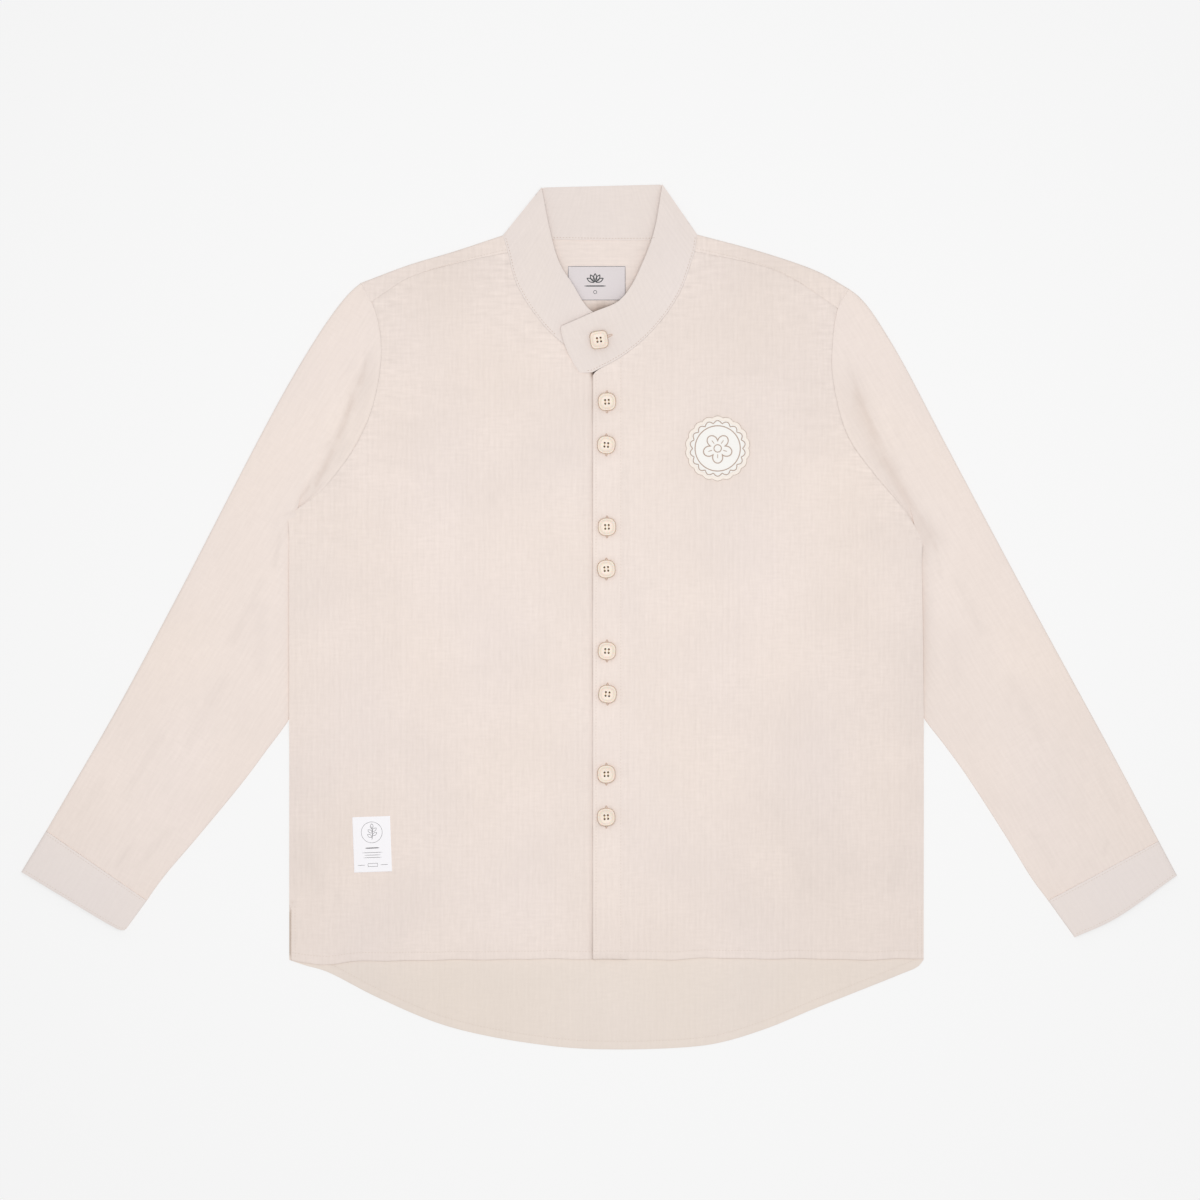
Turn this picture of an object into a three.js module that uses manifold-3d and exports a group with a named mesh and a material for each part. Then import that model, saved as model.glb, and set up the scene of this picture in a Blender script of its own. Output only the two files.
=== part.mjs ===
// A long-sleeved cotton shirt with an upright band collar, buttoned and laid flat, front side up.
// Millimetres. +Z is up off the surface, +Y runs to the collar and +X to the wearer's left.
// Widths (x) are counted from the centre line and heights (y) from the front hem,
// until the last lines put the origin under the middle of the whole shirt.

import * as THREE from 'three';
import { mergeVertices } from 'three/addons/utils/BufferGeometryUtils.js';
import Module from 'manifold-3d';

// Walls and spaces
const CLOTH = 1.2;
const COLLAR_CLOTH = 1.6;
const CUFF_CLOTH = 1.6;
const LABEL_CLOTH = 1;
const PATCH_CLOTH = 1;
const SEAM = 0.3;
const YOKE_SEAM = 0.5;
const PLY = 0.3;

// Outer radius of each edge where cloth turns over itself
const BODY_FOLD = 1.7;
const COLLAR_FOLD = 1.9;
const CUFF_FOLD = 2.2;

// The body
const HALF_CHEST = 291.5;
const PUFF = 2.6;
const SIDE_ROLL = 22;
const SHOULDER_ROLL = 30;
const SHOULDER_PRESS = 0.73;
const HEM_PRESS = 0.7;
const HEM_REACH = 130;
const UNDERARM_FADE = { from: -20, to: 60 };
const NECK_POINT = { across: 90, height: 667.5 };
const SHOULDER_SLOPE = 0.36;

// Each sleeve is tucked under the body's side, which rides over it
const TUCK_LIFT = 3.8;
const TUCK_FLAT = 24;
const TUCK_END = 70;
const PRESS_FLAT = 8;
const PRESS_END = 45;

// The left front laps over the right, with its edge turned back as a button stand
const OVER_EDGE = -12.4;
const UNDER_EDGE = 14.7;
const STAND_WIDTH = 26;
const STAND_STEP = 0.6;
const STAND_MARGIN = 0.1;
const LAP_LIFT = CLOTH + PLY;
const LAP_FLAT = 30;
const LAP_END = 110;
const STAND_FADE = { from: 20, to: 60 };

// The collar and the sleeves
const BAND_RISE = 1.4;
const UNDER_BAND_FALL = { from: 0.25, to: 0.6 };
const SLEEVE_PUFF = 2.7;
const SLEEVE_END_PUFF = 1.9;
const SLEEVE_ROLL = 18;
const SEAM_REACH = 40;
const JOIN_REACH = 35;
const CUFF_PUFF = 1.4;

// How many parts each grid has
const SIDE_ROWS = 12;
const TUCK_ROWS = 6;
const ARMHOLE_ROWS = 9;
const EDGE_ROWS = 15;
const NECK_ROWS = 6;
const FRONT_EASED = 9;
const NEXT_COLUMN = 0.003;
const BACK_COLUMNS = 16;
const BACK_ARMHOLE_ROWS = 8;
const YOKE_COLUMNS = 6;
const YOKE_ROWS = 3;
const SLEEVE_STATIONS = 15;
const SLEEVE_EASE = 1.25;
const UNDERARM_EASE = 1.5;
const CUFF_STATIONS = 2;
const CUFF_ACROSS = 6;
const COLLAR_ACROSS = 3;
const COLLAR_BACK = 6;
const FOLD_TURNS = [90, 45, 0, -45, -90];
const MERGE_REACH = 1e-4;
const ABOVE_ALL = 100;
const YOKE_BACK_SHARE = 0.8;
const YOKE_WING_SHARE = 0.3;

// Labels, patch and buttons
const HEM_LABEL = { x: -215.1, y: 106.5, width: 34.8, height: 51, turn: 2 };
const NECK_LABEL = { x: -8.5, y: 622.8, width: 53, height: 31.5, turn: 0 };
const LABEL_CELLS = { across: 4, along: 5 };
const PATCH = { x: 102.7, y: 470.6, radius: 30.2, scallops: 12, depth: 2, fade: 6, partsEach: 3 };
const PATCH_RINGS = [
  { share: 0.7, raise: 0 },
  { share: 0.76, raise: 0.5 },
  { share: 0.92, raise: 0.5 },
  { share: 1, raise: 0 },
];
const BUTTON = { radius: 8.25, squareness: 3.4, cornerReach: 1.16, around: 16 };
const BUTTON_HOLE = { radius: 0.95, spread: 1.9, length: 8, sides: 6 };
const BUTTON_SEATS = 8;
const BUTTON_RINGS = [
  { radius: 6.6, height: 0 },
  { radius: 8.25, height: 1 },
  { radius: 8, height: 2.3 },
  { radius: 6.9, height: 2.9 },
  { radius: 5.2, height: 2.2 },
];
const COLLAR_BUTTON = { x: -6.4, y: 570.4 };
const FRONT_BUTTONS = [
  { x: 0.9, y: 513.4 },
  { x: 0.3, y: 473.8 },
  { x: 0.9, y: 398.4 },
  { x: 0.3, y: 359.7 },
  { x: 0.9, y: 284.3 },
  { x: 1.4, y: 244.7 },
  { x: 0.3, y: 171.1 },
  { x: 0.2, y: 131.6 },
];

// Colours and finishes
const SHIRT_COLOUR = 0xede0d8;
const SLEEVE_COLOUR = 0xebdfd8;
const BACK_COLOUR = 0xe7dbd2;
const COLLAR_COLOUR = 0xe8dcd6;
const CUFF_COLOUR = 0xe4dad5;
const BUTTON_COLOUR = 0xf4e4d7;
const PATCH_COLOUR = 0xefe9e2;
const HEM_LABEL_COLOUR = 0xf6f3f6;
const NECK_LABEL_COLOUR = 0xded3d0;
const CLOTH_ROUGHNESS = 0.9;
const BUTTON_ROUGHNESS = 0.45;

// The wearer's right half lies at -X. A side and an armhole run up. A shoulder fold, a yoke seam
// and a neck seam run inwards from the armhole. A sleeve's folds run down to the cuff.
const rightHalf = {
  outward: -1,
  side: [
    { x: -291.5, y: 0 },
    { x: -291.5, y: 409 },
  ],
  armhole: [
    { x: -291.5, y: 409 },
    { x: -265, y: 429 },
    { x: -243.2, y: 454.2 },
    { x: -228.9, y: 476 },
    { x: -214.6, y: 509.7 },
    { x: -206.7, y: 560.4 },
    { x: -211.5, y: 595.2 },
    { x: -224.2, y: 621.4 },
  ],
  shoulder: [
    { x: -224.2, y: 621.4 },
    { x: -180, y: 638 },
    { x: -140.2, y: 650 },
    { x: -94.8, y: 666.8 },
  ],
  yokeSeam: [
    { x: -213.5, y: 601 },
    { x: -180, y: 624.3 },
    { x: -140, y: 638.5 },
    { x: -90.2, y: 651 },
  ],
  yokeShare: 0.92,
  neck: [
    { x: -90.2, y: 651 },
    { x: -82.3, y: 621.6 },
    { x: -59.4, y: 586.4 },
    { x: -38.1, y: 565.8 },
    { x: -12, y: 548.5 },
    { x: UNDER_EDGE, y: 537.5 },
  ],
  sleeveOuter: [
    { x: -224.2, y: 621.4 },
    { x: -240, y: 607.9 },
    { x: -252.7, y: 592.1 },
    { x: -290.7, y: 530.3 },
    { x: -396.6, y: 331.2 },
    { x: -451.5, y: 228.4 },
    { x: -515.2, y: 118.7 },
  ],
  sleeveInner: [
    { x: -293, y: 408.8 },
    { x: -299, y: 396 },
    { x: -298, y: 382 },
    { x: -291.5, y: 364 },
    { x: -280, y: 338 },
    { x: -275.5, y: 308 },
    { x: -281, y: 272 },
    { x: -293.6, y: 241 },
    { x: -296.5, y: 214 },
    { x: -336, y: 165 },
    { x: -378.3, y: 110.4 },
    { x: -426.9, y: 58 },
  ],
  cuffSeam: [
    { x: -515.2, y: 118.7 },
    { x: -426.9, y: 58 },
  ],
  cuffEnd: [
    { x: -538, y: 81 },
    { x: -497.6, y: 57.4 },
    { x: -442.2, y: 28.3 },
  ],
};

const leftHalf = {
  outward: 1,
  side: [
    { x: 292.3, y: 0 },
    { x: 292.3, y: 222 },
    { x: 290.3, y: 387 },
  ],
  armhole: [
    { x: 290.3, y: 387 },
    { x: 273.5, y: 415 },
    { x: 246.5, y: 447.5 },
    { x: 221.8, y: 483.6 },
    { x: 208.6, y: 536 },
    { x: 208.4, y: 569.1 },
    { x: 213.2, y: 599.5 },
    { x: 221.8, y: 616 },
  ],
  shoulder: [
    { x: 221.8, y: 616 },
    { x: 196, y: 632.4 },
    { x: 146.3, y: 650.4 },
    { x: 83.9, y: 667.5 },
  ],
  yokeSeam: [
    { x: 211.9, y: 596 },
    { x: 171.1, y: 624.3 },
    { x: 146.3, y: 636 },
    { x: 81.8, y: 652 },
  ],
  yokeShare: 0.92,
  neck: [
    { x: 81.8, y: 652 },
    { x: 67.2, y: 612.4 },
    { x: 44.2, y: 580.5 },
    { x: 16.8, y: 556.7 },
    { x: OVER_EDGE, y: 540.5 },
  ],
  sleeveOuter: [
    { x: 221.8, y: 616 },
    { x: 241.6, y: 600.3 },
    { x: 264.6, y: 564.1 },
    { x: 310.5, y: 478.4 },
    { x: 389.3, y: 331.2 },
    { x: 472.9, y: 178.5 },
    { x: 508.6, y: 109.4 },
  ],
  sleeveInner: [
    { x: 292, y: 387 },
    { x: 298, y: 374 },
    { x: 297, y: 360 },
    { x: 291, y: 342 },
    { x: 281, y: 320 },
    { x: 277, y: 294 },
    { x: 283, y: 262 },
    { x: 294.6, y: 231 },
    { x: 298.5, y: 214 },
    { x: 311.2, y: 198.8 },
    { x: 329.5, y: 172 },
    { x: 368.9, y: 110.4 },
    { x: 411.7, y: 57.6 },
  ],
  cuffSeam: [
    { x: 508.6, y: 109.4 },
    { x: 411.7, y: 57.6 },
  ],
  cuffEnd: [
    { x: 525.3, y: 77.8 },
    { x: 468, y: 38.8 },
    { x: 431.5, y: 21.5 },
  ],
};

const tailHem = [
  { x: -291.5, y: 0 },
  { x: -262, y: -6.6 },
  { x: -210.1, y: -34.6 },
  { x: -144.3, y: -61.5 },
  { x: -50.6, y: -79.5 },
  { x: 12.9, y: -82.4 },
  { x: 81.7, y: -78.5 },
  { x: 145.1, y: -61.4 },
  { x: 229.5, y: -27.1 },
  { x: 286.6, y: -5.6 },
  { x: 292.3, y: 0 },
];

const backNeck = [
  { x: -94.8, y: 665.1 },
  { x: -50, y: 663.2 },
  { x: 48, y: 662.7 },
  { x: 83.9, y: 665.8 },
];

const collarTop = { right: { x: -59.4, y: 710.8 }, left: { x: 51.9, y: 712.3 } };
const tabCorner = { x: -24.4, y: 540 };
const underBandFree = [
  { x: -59.4, y: 710.8 },
  { x: -50.3, y: 665.8 },
  { x: -42.7, y: 641.3 },
  { x: -30.5, y: 621.6 },
  { x: -14.4, y: 598 },
  { x: 11, y: 587 },
];
const overBandFree = [
  { x: -42, y: 582.6 },
  { x: -10.7, y: 596.3 },
  { x: 10.7, y: 605.5 },
  { x: 21.2, y: 617 },
  { x: 33.6, y: 641.3 },
  { x: 44.2, y: 670.3 },
  { x: 51.9, y: 712.3 },
];

// Soft troughs, each from one point to another with its width and its depth
const SLEEVE_FOLDS = [
  { fromX: -229, fromY: 545, toX: -282, toY: 424, width: 9, depth: 2 },
  { fromX: -262, fromY: 470, toX: -305, toY: 395, width: 7, depth: 1 },
  { fromX: -330, fromY: 300, toX: -380, toY: 190, width: 16, depth: 0.8 },
  { fromX: -372, fromY: 270, toX: -440, toY: 150, width: 14, depth: 0.6 },
  { fromX: 236, fromY: 520, toX: 290, toY: 402, width: 10, depth: 2 },
  { fromX: 262, fromY: 492, toX: 318, toY: 372, width: 9, depth: 0.9 },
  { fromX: 345, fromY: 310, toX: 400, toY: 190, width: 15, depth: 0.8 },
  { fromX: 400, fromY: 245, toX: 450, toY: 120, width: 13, depth: 0.6 },
];
const FRONT_FOLDS = [
  { fromX: -222, fromY: 470, toX: -150, toY: 300, width: 22, depth: 0.8 },
  { fromX: -120, fromY: 420, toX: -100, toY: 120, width: 26, depth: 0.6 },
  { fromX: 215, fromY: 480, toX: 160, toY: 310, width: 22, depth: 0.7 },
  { fromX: 118, fromY: 380, toX: 96, toY: 110, width: 28, depth: 0.6 },
];

const { smoothstep, clamp, lerp, degToRad } = THREE.MathUtils;

// A smooth curve through the rows of a table
function curveOf(rows) {
  const points = rows.map(({ x, y }) => new THREE.Vector3(x, y, 0));
  return new THREE.CatmullRomCurve3(points, false, 'centripetal');
}

function between(start, end, share) {
  return new THREE.Vector3(lerp(start.x, end.x, share), lerp(start.y, end.y, share), 0);
}

for (const half of [rightHalf, leftHalf]) {
  for (const name of ['side', 'armhole', 'shoulder', 'yokeSeam', 'neck']) {
    half[name] = curveOf(half[name]);
  }
  for (const name of ['sleeveOuter', 'sleeveInner', 'cuffSeam', 'cuffEnd']) {
    half[name] = curveOf(half[name]);
  }
  half.underarm = half.armhole.getPointAt(0).y;
}

// A surface over four edge curves: bottom and top run across, first and last run up
function patchOf(bottom, top, first, last) {
  const corners = [bottom(0), bottom(1), top(0), top(1)];
  return (u, v) => {
    const point = bottom(u).multiplyScalar(1 - v);
    point.addScaledVector(top(u), v);
    point.addScaledVector(first(v), 1 - u);
    point.addScaledVector(last(v), u);
    point.addScaledVector(corners[0], -(1 - u) * (1 - v));
    point.addScaledVector(corners[1], -u * (1 - v));
    point.addScaledVector(corners[2], -(1 - u) * v);
    point.addScaledVector(corners[3], -u * v);
    return point;
  };
}

// One edge made of two stretches that meet at the given share
function joinedEdge(lower, upper, meet) {
  return (v) => (v <= meet ? lower(v / meet) : upper((v - meet) / (1 - meet)));
}

function evenly(count) {
  return Array.from({ length: count + 1 }, (_, k) => k / count);
}

// Depth of all the troughs of a table at one place, each fading out towards its ends
function foldDepth(folds, x, y) {
  let total = 0;
  for (const fold of folds) {
    const runX = fold.toX - fold.fromX;
    const runY = fold.toY - fold.fromY;
    const length = Math.hypot(runX, runY);
    const along = ((x - fold.fromX) * runX + (y - fold.fromY) * runY) / length;
    const aside = ((x - fold.fromX) * runY - (y - fold.fromY) * runX) / length;
    const start = smoothstep(along, -fold.width, fold.width);
    const end = smoothstep(length - along, -fold.width, fold.width);
    total += fold.depth * start * end * Math.exp(-((aside / fold.width) ** 2));
  }
  return total;
}

// How far the body's side is lifted by the sleeve that is tucked under it
function tuckLift(x, y) {
  const row = (y / (x < 0 ? rightHalf : leftHalf).underarm) * SIDE_ROWS;
  const along = clamp(row - TUCK_ROWS, 0, 1) * clamp(SIDE_ROWS - row, 0, 1);
  return TUCK_LIFT * along * (1 - smoothstep(HALF_CHEST - Math.abs(x), TUCK_FLAT, TUCK_END));
}

// Height of the front cloth's underside: on the back at the sides, and standing off it inside
function frontUnder(x, y) {
  const across = Math.abs(x);
  const underarm = (x < 0 ? rightHalf : leftHalf).underarm;
  const sideRoll = 1 - Math.exp(-Math.max(HALF_CHEST - across, 0) / SIDE_ROLL);
  const inSleeve = smoothstep(y - underarm, UNDERARM_FADE.from, UNDERARM_FADE.to);
  const shoulderLine = NECK_POINT.height - SHOULDER_SLOPE * Math.max(across - NECK_POINT.across, 0);
  const shoulderRoll = 1 - SHOULDER_PRESS * Math.exp(-Math.max(shoulderLine - y, 0) / SHOULDER_ROLL);
  const hemRoll = 1 - HEM_PRESS * (1 - smoothstep(y, 0, HEM_REACH));
  const rolls = lerp(sideRoll, 1, inSleeve) * shoulderRoll * hemRoll;
  return tuckLift(x, y) + CLOTH + PLY + (PUFF - foldDepth(FRONT_FOLDS, x, y)) * rolls;
}

// How much higher the lapped left front lies
function lapLift(x) {
  return LAP_LIFT * (1 - smoothstep(x, LAP_FLAT, LAP_END));
}

// A closed wall between two sheets of grid points. The grid may close on itself across,
// and cells that keep() leaves out are openings in the sheet.
function wallMesh(across, along, pointsAt, { loop = false, keep = () => true } = {}) {
  const columns = loop ? across : across + 1;
  const positions = [];
  for (let j = 0; j <= along; j += 1) {
    for (let i = 0; i < columns; i += 1) {
      const { face, lining } = pointsAt(i, j);
      positions.push(...face.toArray(), ...lining.toArray());
    }
  }
  const faceIndex = (i, j) => 2 * (j * columns + (i % columns));
  const kept = (i, j) => {
    if (j < 0 || j >= along) return false;
    if (!loop && (i < 0 || i >= across)) return false;
    return keep((i + across) % across, j);
  };
  const index = [];
  const quad = (a, b, c, d) => index.push(a, b, c, a, c, d);
  for (let j = 0; j < along; j += 1) {
    for (let i = 0; i < across; i += 1) {
      if (kept(i, j)) {
        const [a, b] = [faceIndex(i, j), faceIndex(i + 1, j)];
        const [c, d] = [faceIndex(i + 1, j + 1), faceIndex(i, j + 1)];
        quad(a, b, c, d);
        quad(d + 1, c + 1, b + 1, a + 1);
        if (!kept(i, j - 1)) quad(a + 1, b + 1, b, a);
        if (!kept(i, j + 1)) quad(d, c, c + 1, d + 1);
        if (!kept(i - 1, j)) quad(a, d, d + 1, a + 1);
        if (!kept(i + 1, j)) quad(b + 1, c + 1, c, b);
      }
    }
  }
  return solidOf(positions, index);
}

// Builds the geometry with its faces turned outwards, whichever way its grid runs
function solidOf(positions, index) {
  const corner = (k) => new THREE.Vector3(...positions.slice(3 * k, 3 * k + 3));
  let volume = 0;
  for (let k = 0; k < index.length; k += 3) {
    volume += corner(index[k]).dot(corner(index[k + 1]).cross(corner(index[k + 2])));
  }
  const geometry = new THREE.BufferGeometry();
  geometry.setAttribute('position', new THREE.Float32BufferAttribute(positions, 3));
  geometry.setIndex(volume > 0 ? index : index.reverse());
  const merged = mergeVertices(geometry, MERGE_REACH);
  merged.computeVertexNormals();
  return merged;
}

// A sheet lying level: its face is the upper side
function layer(point, under, thickness) {
  return {
    face: new THREE.Vector3(point.x, point.y, under + thickness),
    lining: new THREE.Vector3(point.x, point.y, under),
  };
}

const group = new THREE.Group();

function addPiece(name, geometry, colour, roughness = CLOTH_ROUGHNESS) {
  const material = new THREE.MeshStandardMaterial({ color: colour, roughness, metalness: 0 });
  const mesh = new THREE.Mesh(geometry, material);
  mesh.name = name;
  group.add(mesh);
  return mesh;
}

// A front, from its centre edge to the side and from the hem to the yoke and neck seams
function frontMesh(half, edge, isOver) {
  const rows = SIDE_ROWS + ARMHOLE_ROWS;
  const hemSide = half.side.getPointAt(0);
  const hemEdge = { x: edge, y: 0 };
  const neckEdge = half.neck.getPointAt(1);
  const centreEdge = joinedEdge(
    (q) => between(hemEdge, neckEdge, q),
    (q) => half.neck.getPointAt(1 - q),
    EDGE_ROWS / rows,
  );
  const sideEdge = joinedEdge(
    (q) => half.side.getPointAt(q),
    (q) => half.armhole.getPointAt(q * half.yokeShare),
    SIDE_ROWS / rows,
  );
  const surface = patchOf(
    (u) => between(hemEdge, hemSide, u),
    (u) => half.yokeSeam.getPointAt(1 - u),
    centreEdge,
    sideEdge,
  );
  const stand = STAND_WIDTH / Math.abs(hemSide.x - edge);
  const eased = evenly(FRONT_EASED).map((k) => lerp(stand + NEXT_COLUMN, 1, Math.sin((k * Math.PI) / 2)));
  const columns = [0, stand / 2, stand, ...eased];
  return wallMesh(columns.length - 1, rows, (i, j) => {
    const point = surface(columns[i], j / rows);
    point.y -= (YOKE_SEAM * j) / rows;
    const doubled = isOver && point.x < edge + STAND_WIDTH + STAND_MARGIN ? STAND_STEP : 0;
    const under = frontUnder(point.x, point.y) + (isOver ? lapLift(point.x) : 0);
    return layer(point, under, CLOTH + doubled);
  });
}

// The back below the yoke, with its hem dropped into a rounded tail
function backMesh() {
  const rows = SIDE_ROWS + BACK_ARMHOLE_ROWS;
  const meet = SIDE_ROWS / rows;
  const hem = curveOf(tailHem);
  const upEdge = (half) => joinedEdge(
    (q) => half.side.getPointAt(q),
    (q) => half.armhole.getPointAt(q * YOKE_BACK_SHARE),
    meet,
  );
  const surface = patchOf((u) => hem.getPointAt(u), yokeBackSeam, upEdge(rightHalf), upEdge(leftHalf));
  return wallMesh(BACK_COLUMNS, rows, (i, j) => {
    const u = (1 - Math.cos((i * Math.PI) / BACK_COLUMNS)) / 2;
    const point = surface(u, j / rows);
    point.y -= (YOKE_SEAM * j) / rows;
    return layer(point, tuckLift(point.x, point.y), CLOTH);
  });
}

function yokeBackSeam(u) {
  const start = rightHalf.armhole.getPointAt(YOKE_BACK_SHARE);
  const end = leftHalf.armhole.getPointAt(YOKE_BACK_SHARE);
  return between(start, end, u);
}

// A wall turning over a fold: the place of its face and lining for one angle of the turn
function foldAt(place, radius, thickness, turn) {
  const angle = degToRad(turn);
  const inner = radius - thickness;
  const face = place(radius - radius * Math.cos(angle));
  const lining = place(radius - inner * Math.cos(angle));
  face.z = radius + radius * Math.sin(angle);
  lining.z = radius + inner * Math.sin(angle);
  return { face, lining };
}

// The yoke: across the back below the neck, and over each shoulder fold to the front seam
function yokeMesh() {
  const wings = [rightHalf, leftHalf].map((half) => {
    const neckPoint = half.shoulder.getPointAt(1);
    const seamShare = half === rightHalf ? YOKE_WING_SHARE : 1 - YOKE_WING_SHARE;
    const backEnd = yokeBackSeam(seamShare);
    const seamStart = yokeBackSeam(half === rightHalf ? 0 : 1);
    const neckEnd = half.yokeSeam.getPointAt(1);
    return {
      backEnd,
      front: patchOf(
        (c) => half.shoulder.getPointAt(c),
        (c) => half.yokeSeam.getPointAt(c),
        (w) => half.armhole.getPointAt(1 - w * (1 - half.yokeShare)),
        (w) => between(neckPoint, neckEnd, w),
      ),
      back: patchOf(
        (c) => half.shoulder.getPointAt(c),
        (c) => between(seamStart, backEnd, c),
        (w) => half.armhole.getPointAt(1 - w * (1 - YOKE_BACK_SHARE)),
        (w) => between(neckPoint, backEnd, w),
      ),
      frontDepth: neckPoint.distanceTo(neckEnd),
      backDepth: neckPoint.distanceTo(backEnd),
    };
  });
  const neckCurve = curveOf(backNeck);
  const folds = FOLD_TURNS.length;
  const firstWing = YOKE_COLUMNS;
  const secondWing = 2 * YOKE_COLUMNS;
  return wallMesh(3 * YOKE_COLUMNS, folds + YOKE_ROWS, (i, j) => {
    const overNeck = i > firstWing && i < secondWing;
    const wing = wings[i <= firstWing ? 0 : 1];
    const c = i <= firstWing ? i / YOKE_COLUMNS : Math.min((3 * YOKE_COLUMNS - i) / YOKE_COLUMNS, 1);
    if (j === 0) {
      const point = wing.front(c, 1);
      const top = frontUnder(point.x, point.y) + CLOTH;
      return {
        face: point.clone().setZ(top),
        lining: point.clone().setZ(top - CLOTH),
      };
    }
    if (j <= folds && !overNeck) {
      const turn = FOLD_TURNS[j - 1];
      const sheet = turn > 0 ? wing.front : wing.back;
      const depth = turn > 0 ? wing.frontDepth : wing.backDepth;
      return foldAt((distance) => sheet(c, distance / depth), BODY_FOLD, CLOTH, turn);
    }
    const w = Math.max((j - folds) / YOKE_ROWS, 0);
    let point;
    if (overNeck) {
      const share = (i - firstWing) / YOKE_COLUMNS;
      point = between(neckCurve.getPointAt(share), between(wings[0].backEnd, wings[1].backEnd, share), w);
    } else {
      point = wing.back(c, lerp(BODY_FOLD / wing.backDepth, 1, w));
    }
    return {
      face: point.clone().setZ(0),
      lining: point.clone().setZ(CLOTH),
    };
  }, { keep: (i, j) => j >= folds || i < firstWing || i >= secondWing });
}

// The places round one flattened ring: each is a share across with its layer, or a turn of a fold
function ringPlaces(upperShares, lowerShares) {
  const turnsOut = FOLD_TURNS.map((turn) => ({ fold: 1, turn }));
  const turnsBack = [...FOLD_TURNS].reverse().map((turn) => ({ fold: 0, turn }));
  return [
    ...turnsBack,
    ...upperShares.map((share) => ({ share, isUpper: true })),
    ...turnsOut,
    ...lowerShares.map((share) => ({ share, isUpper: false })),
  ];
}

// A flattened tube of cloth that lies on the surface. heightAt gives its upper side's height.
function tubeMesh(places, stations, { surface, widthAt, radius, thickness, heightAt }) {
  return wallMesh(places.length, stations.length - 1, (i, j) => {
    const place = places[i];
    const t = stations[j];
    if (place.share === undefined) {
      const width = widthAt(t);
      const across = (distance) => (place.fold === 0 ? distance / width : 1 - distance / width);
      return foldAt((distance) => surface(across(distance), t), radius, thickness, place.turn);
    }
    const point = surface(place.share, t);
    const outer = place.isUpper ? heightAt(point, place.share, t) : 0;
    return {
      face: point.clone().setZ(outer),
      lining: point.clone().setZ(place.isUpper ? outer - thickness : thickness),
    };
  }, { loop: true });
}

// How much a sleeve is pressed flat beside and below the body's side
function pressedShare(x, y) {
  const row = (y / (x < 0 ? rightHalf : leftHalf).underarm) * SIDE_ROWS;
  const along = clamp(row - TUCK_ROWS + 1, 0, 1) * clamp(SIDE_ROWS + 1 - row, 0, 1);
  return along * (1 - smoothstep(Math.abs(x) - HALF_CHEST, PRESS_FLAT, PRESS_END));
}

// Rises quickly from both folds of a flattened tube
function tubeRoll(share, width) {
  const fromFirst = 1 - Math.exp((-share * width) / SLEEVE_ROLL);
  const fromLast = 1 - Math.exp((-(1 - share) * width) / SLEEVE_ROLL);
  return fromFirst * fromLast;
}

function sleeveMesh(half) {
  const length = half.sleeveOuter.getLength();
  const armholeWidth = half.armhole.getLength();
  const cuffWidth = half.cuffSeam.getLength();
  const widthAt = (t) => lerp(armholeWidth, cuffWidth, t);
  const surface = (s, t) => {
    const tangent = half.armhole.getTangentAt(1 - s);
    const seam = half.armhole.getPointAt(1 - s);
    seam.x += SEAM * half.outward * tangent.y;
    seam.y -= SEAM * half.outward * tangent.x;
    const underarmFold = half.sleeveInner.getPointAt(t ** UNDERARM_EASE);
    const across = between(half.sleeveOuter.getPointAt(t), underarmFold, s);
    return between(seam, across, 1 - Math.exp((-t * length) / JOIN_REACH));
  };
  const heightAt = (point, s, t) => {
    const { x, y } = point;
    const roll = tubeRoll(s, widthAt(t)) * (1 - pressedShare(x, y));
    const puff = lerp(SLEEVE_PUFF, SLEEVE_END_PUFF, t) - foldDepth(SLEEVE_FOLDS, x, y);
    const own = 2 * BODY_FOLD + puff * roll;
    const atSeam = Math.max(frontUnder(x, y) + CLOTH, 2 * BODY_FOLD);
    return lerp(own, atSeam, Math.exp((-t * length) / SEAM_REACH));
  };
  const upperShares = evenly(ARMHOLE_ROWS).slice(0, -1).map((k) => 1 - (1 - k) * half.yokeShare);
  const lowerShares = evenly(BACK_ARMHOLE_ROWS).slice(1).map((k) => 1 - k * YOKE_BACK_SHARE);
  const end = 1 - SEAM / length;
  const stations = evenly(SLEEVE_STATIONS).map((k) => end * k ** SLEEVE_EASE);
  return tubeMesh(ringPlaces(upperShares, lowerShares), stations, {
    surface,
    widthAt,
    radius: BODY_FOLD,
    thickness: CLOTH,
    heightAt,
  });
}

function cuffMesh(half) {
  const seamWidth = half.cuffSeam.getLength();
  const endWidth = half.cuffEnd.getLength();
  const widthAt = (t) => lerp(seamWidth, endWidth, t);
  const outerEnd = [half.cuffSeam.getPointAt(0), half.cuffEnd.getPointAt(0)];
  const innerEnd = [half.cuffSeam.getPointAt(1), half.cuffEnd.getPointAt(1)];
  const surface = patchOf(
    (s) => half.cuffSeam.getPointAt(s),
    (s) => half.cuffEnd.getPointAt(s),
    (t) => between(...outerEnd, t),
    (t) => between(...innerEnd, t),
  );
  const shares = evenly(CUFF_ACROSS).slice(1, -1);
  const places = ringPlaces(shares, [...shares].reverse());
  const heightAt = (point, s, t) => 2 * CUFF_FOLD + CUFF_PUFF * tubeRoll(s, widthAt(t));
  return tubeMesh(places, evenly(CUFF_STATIONS), {
    surface,
    widthAt,
    radius: CUFF_FOLD,
    thickness: CUFF_CLOTH,
    heightAt,
  });
}

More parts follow.
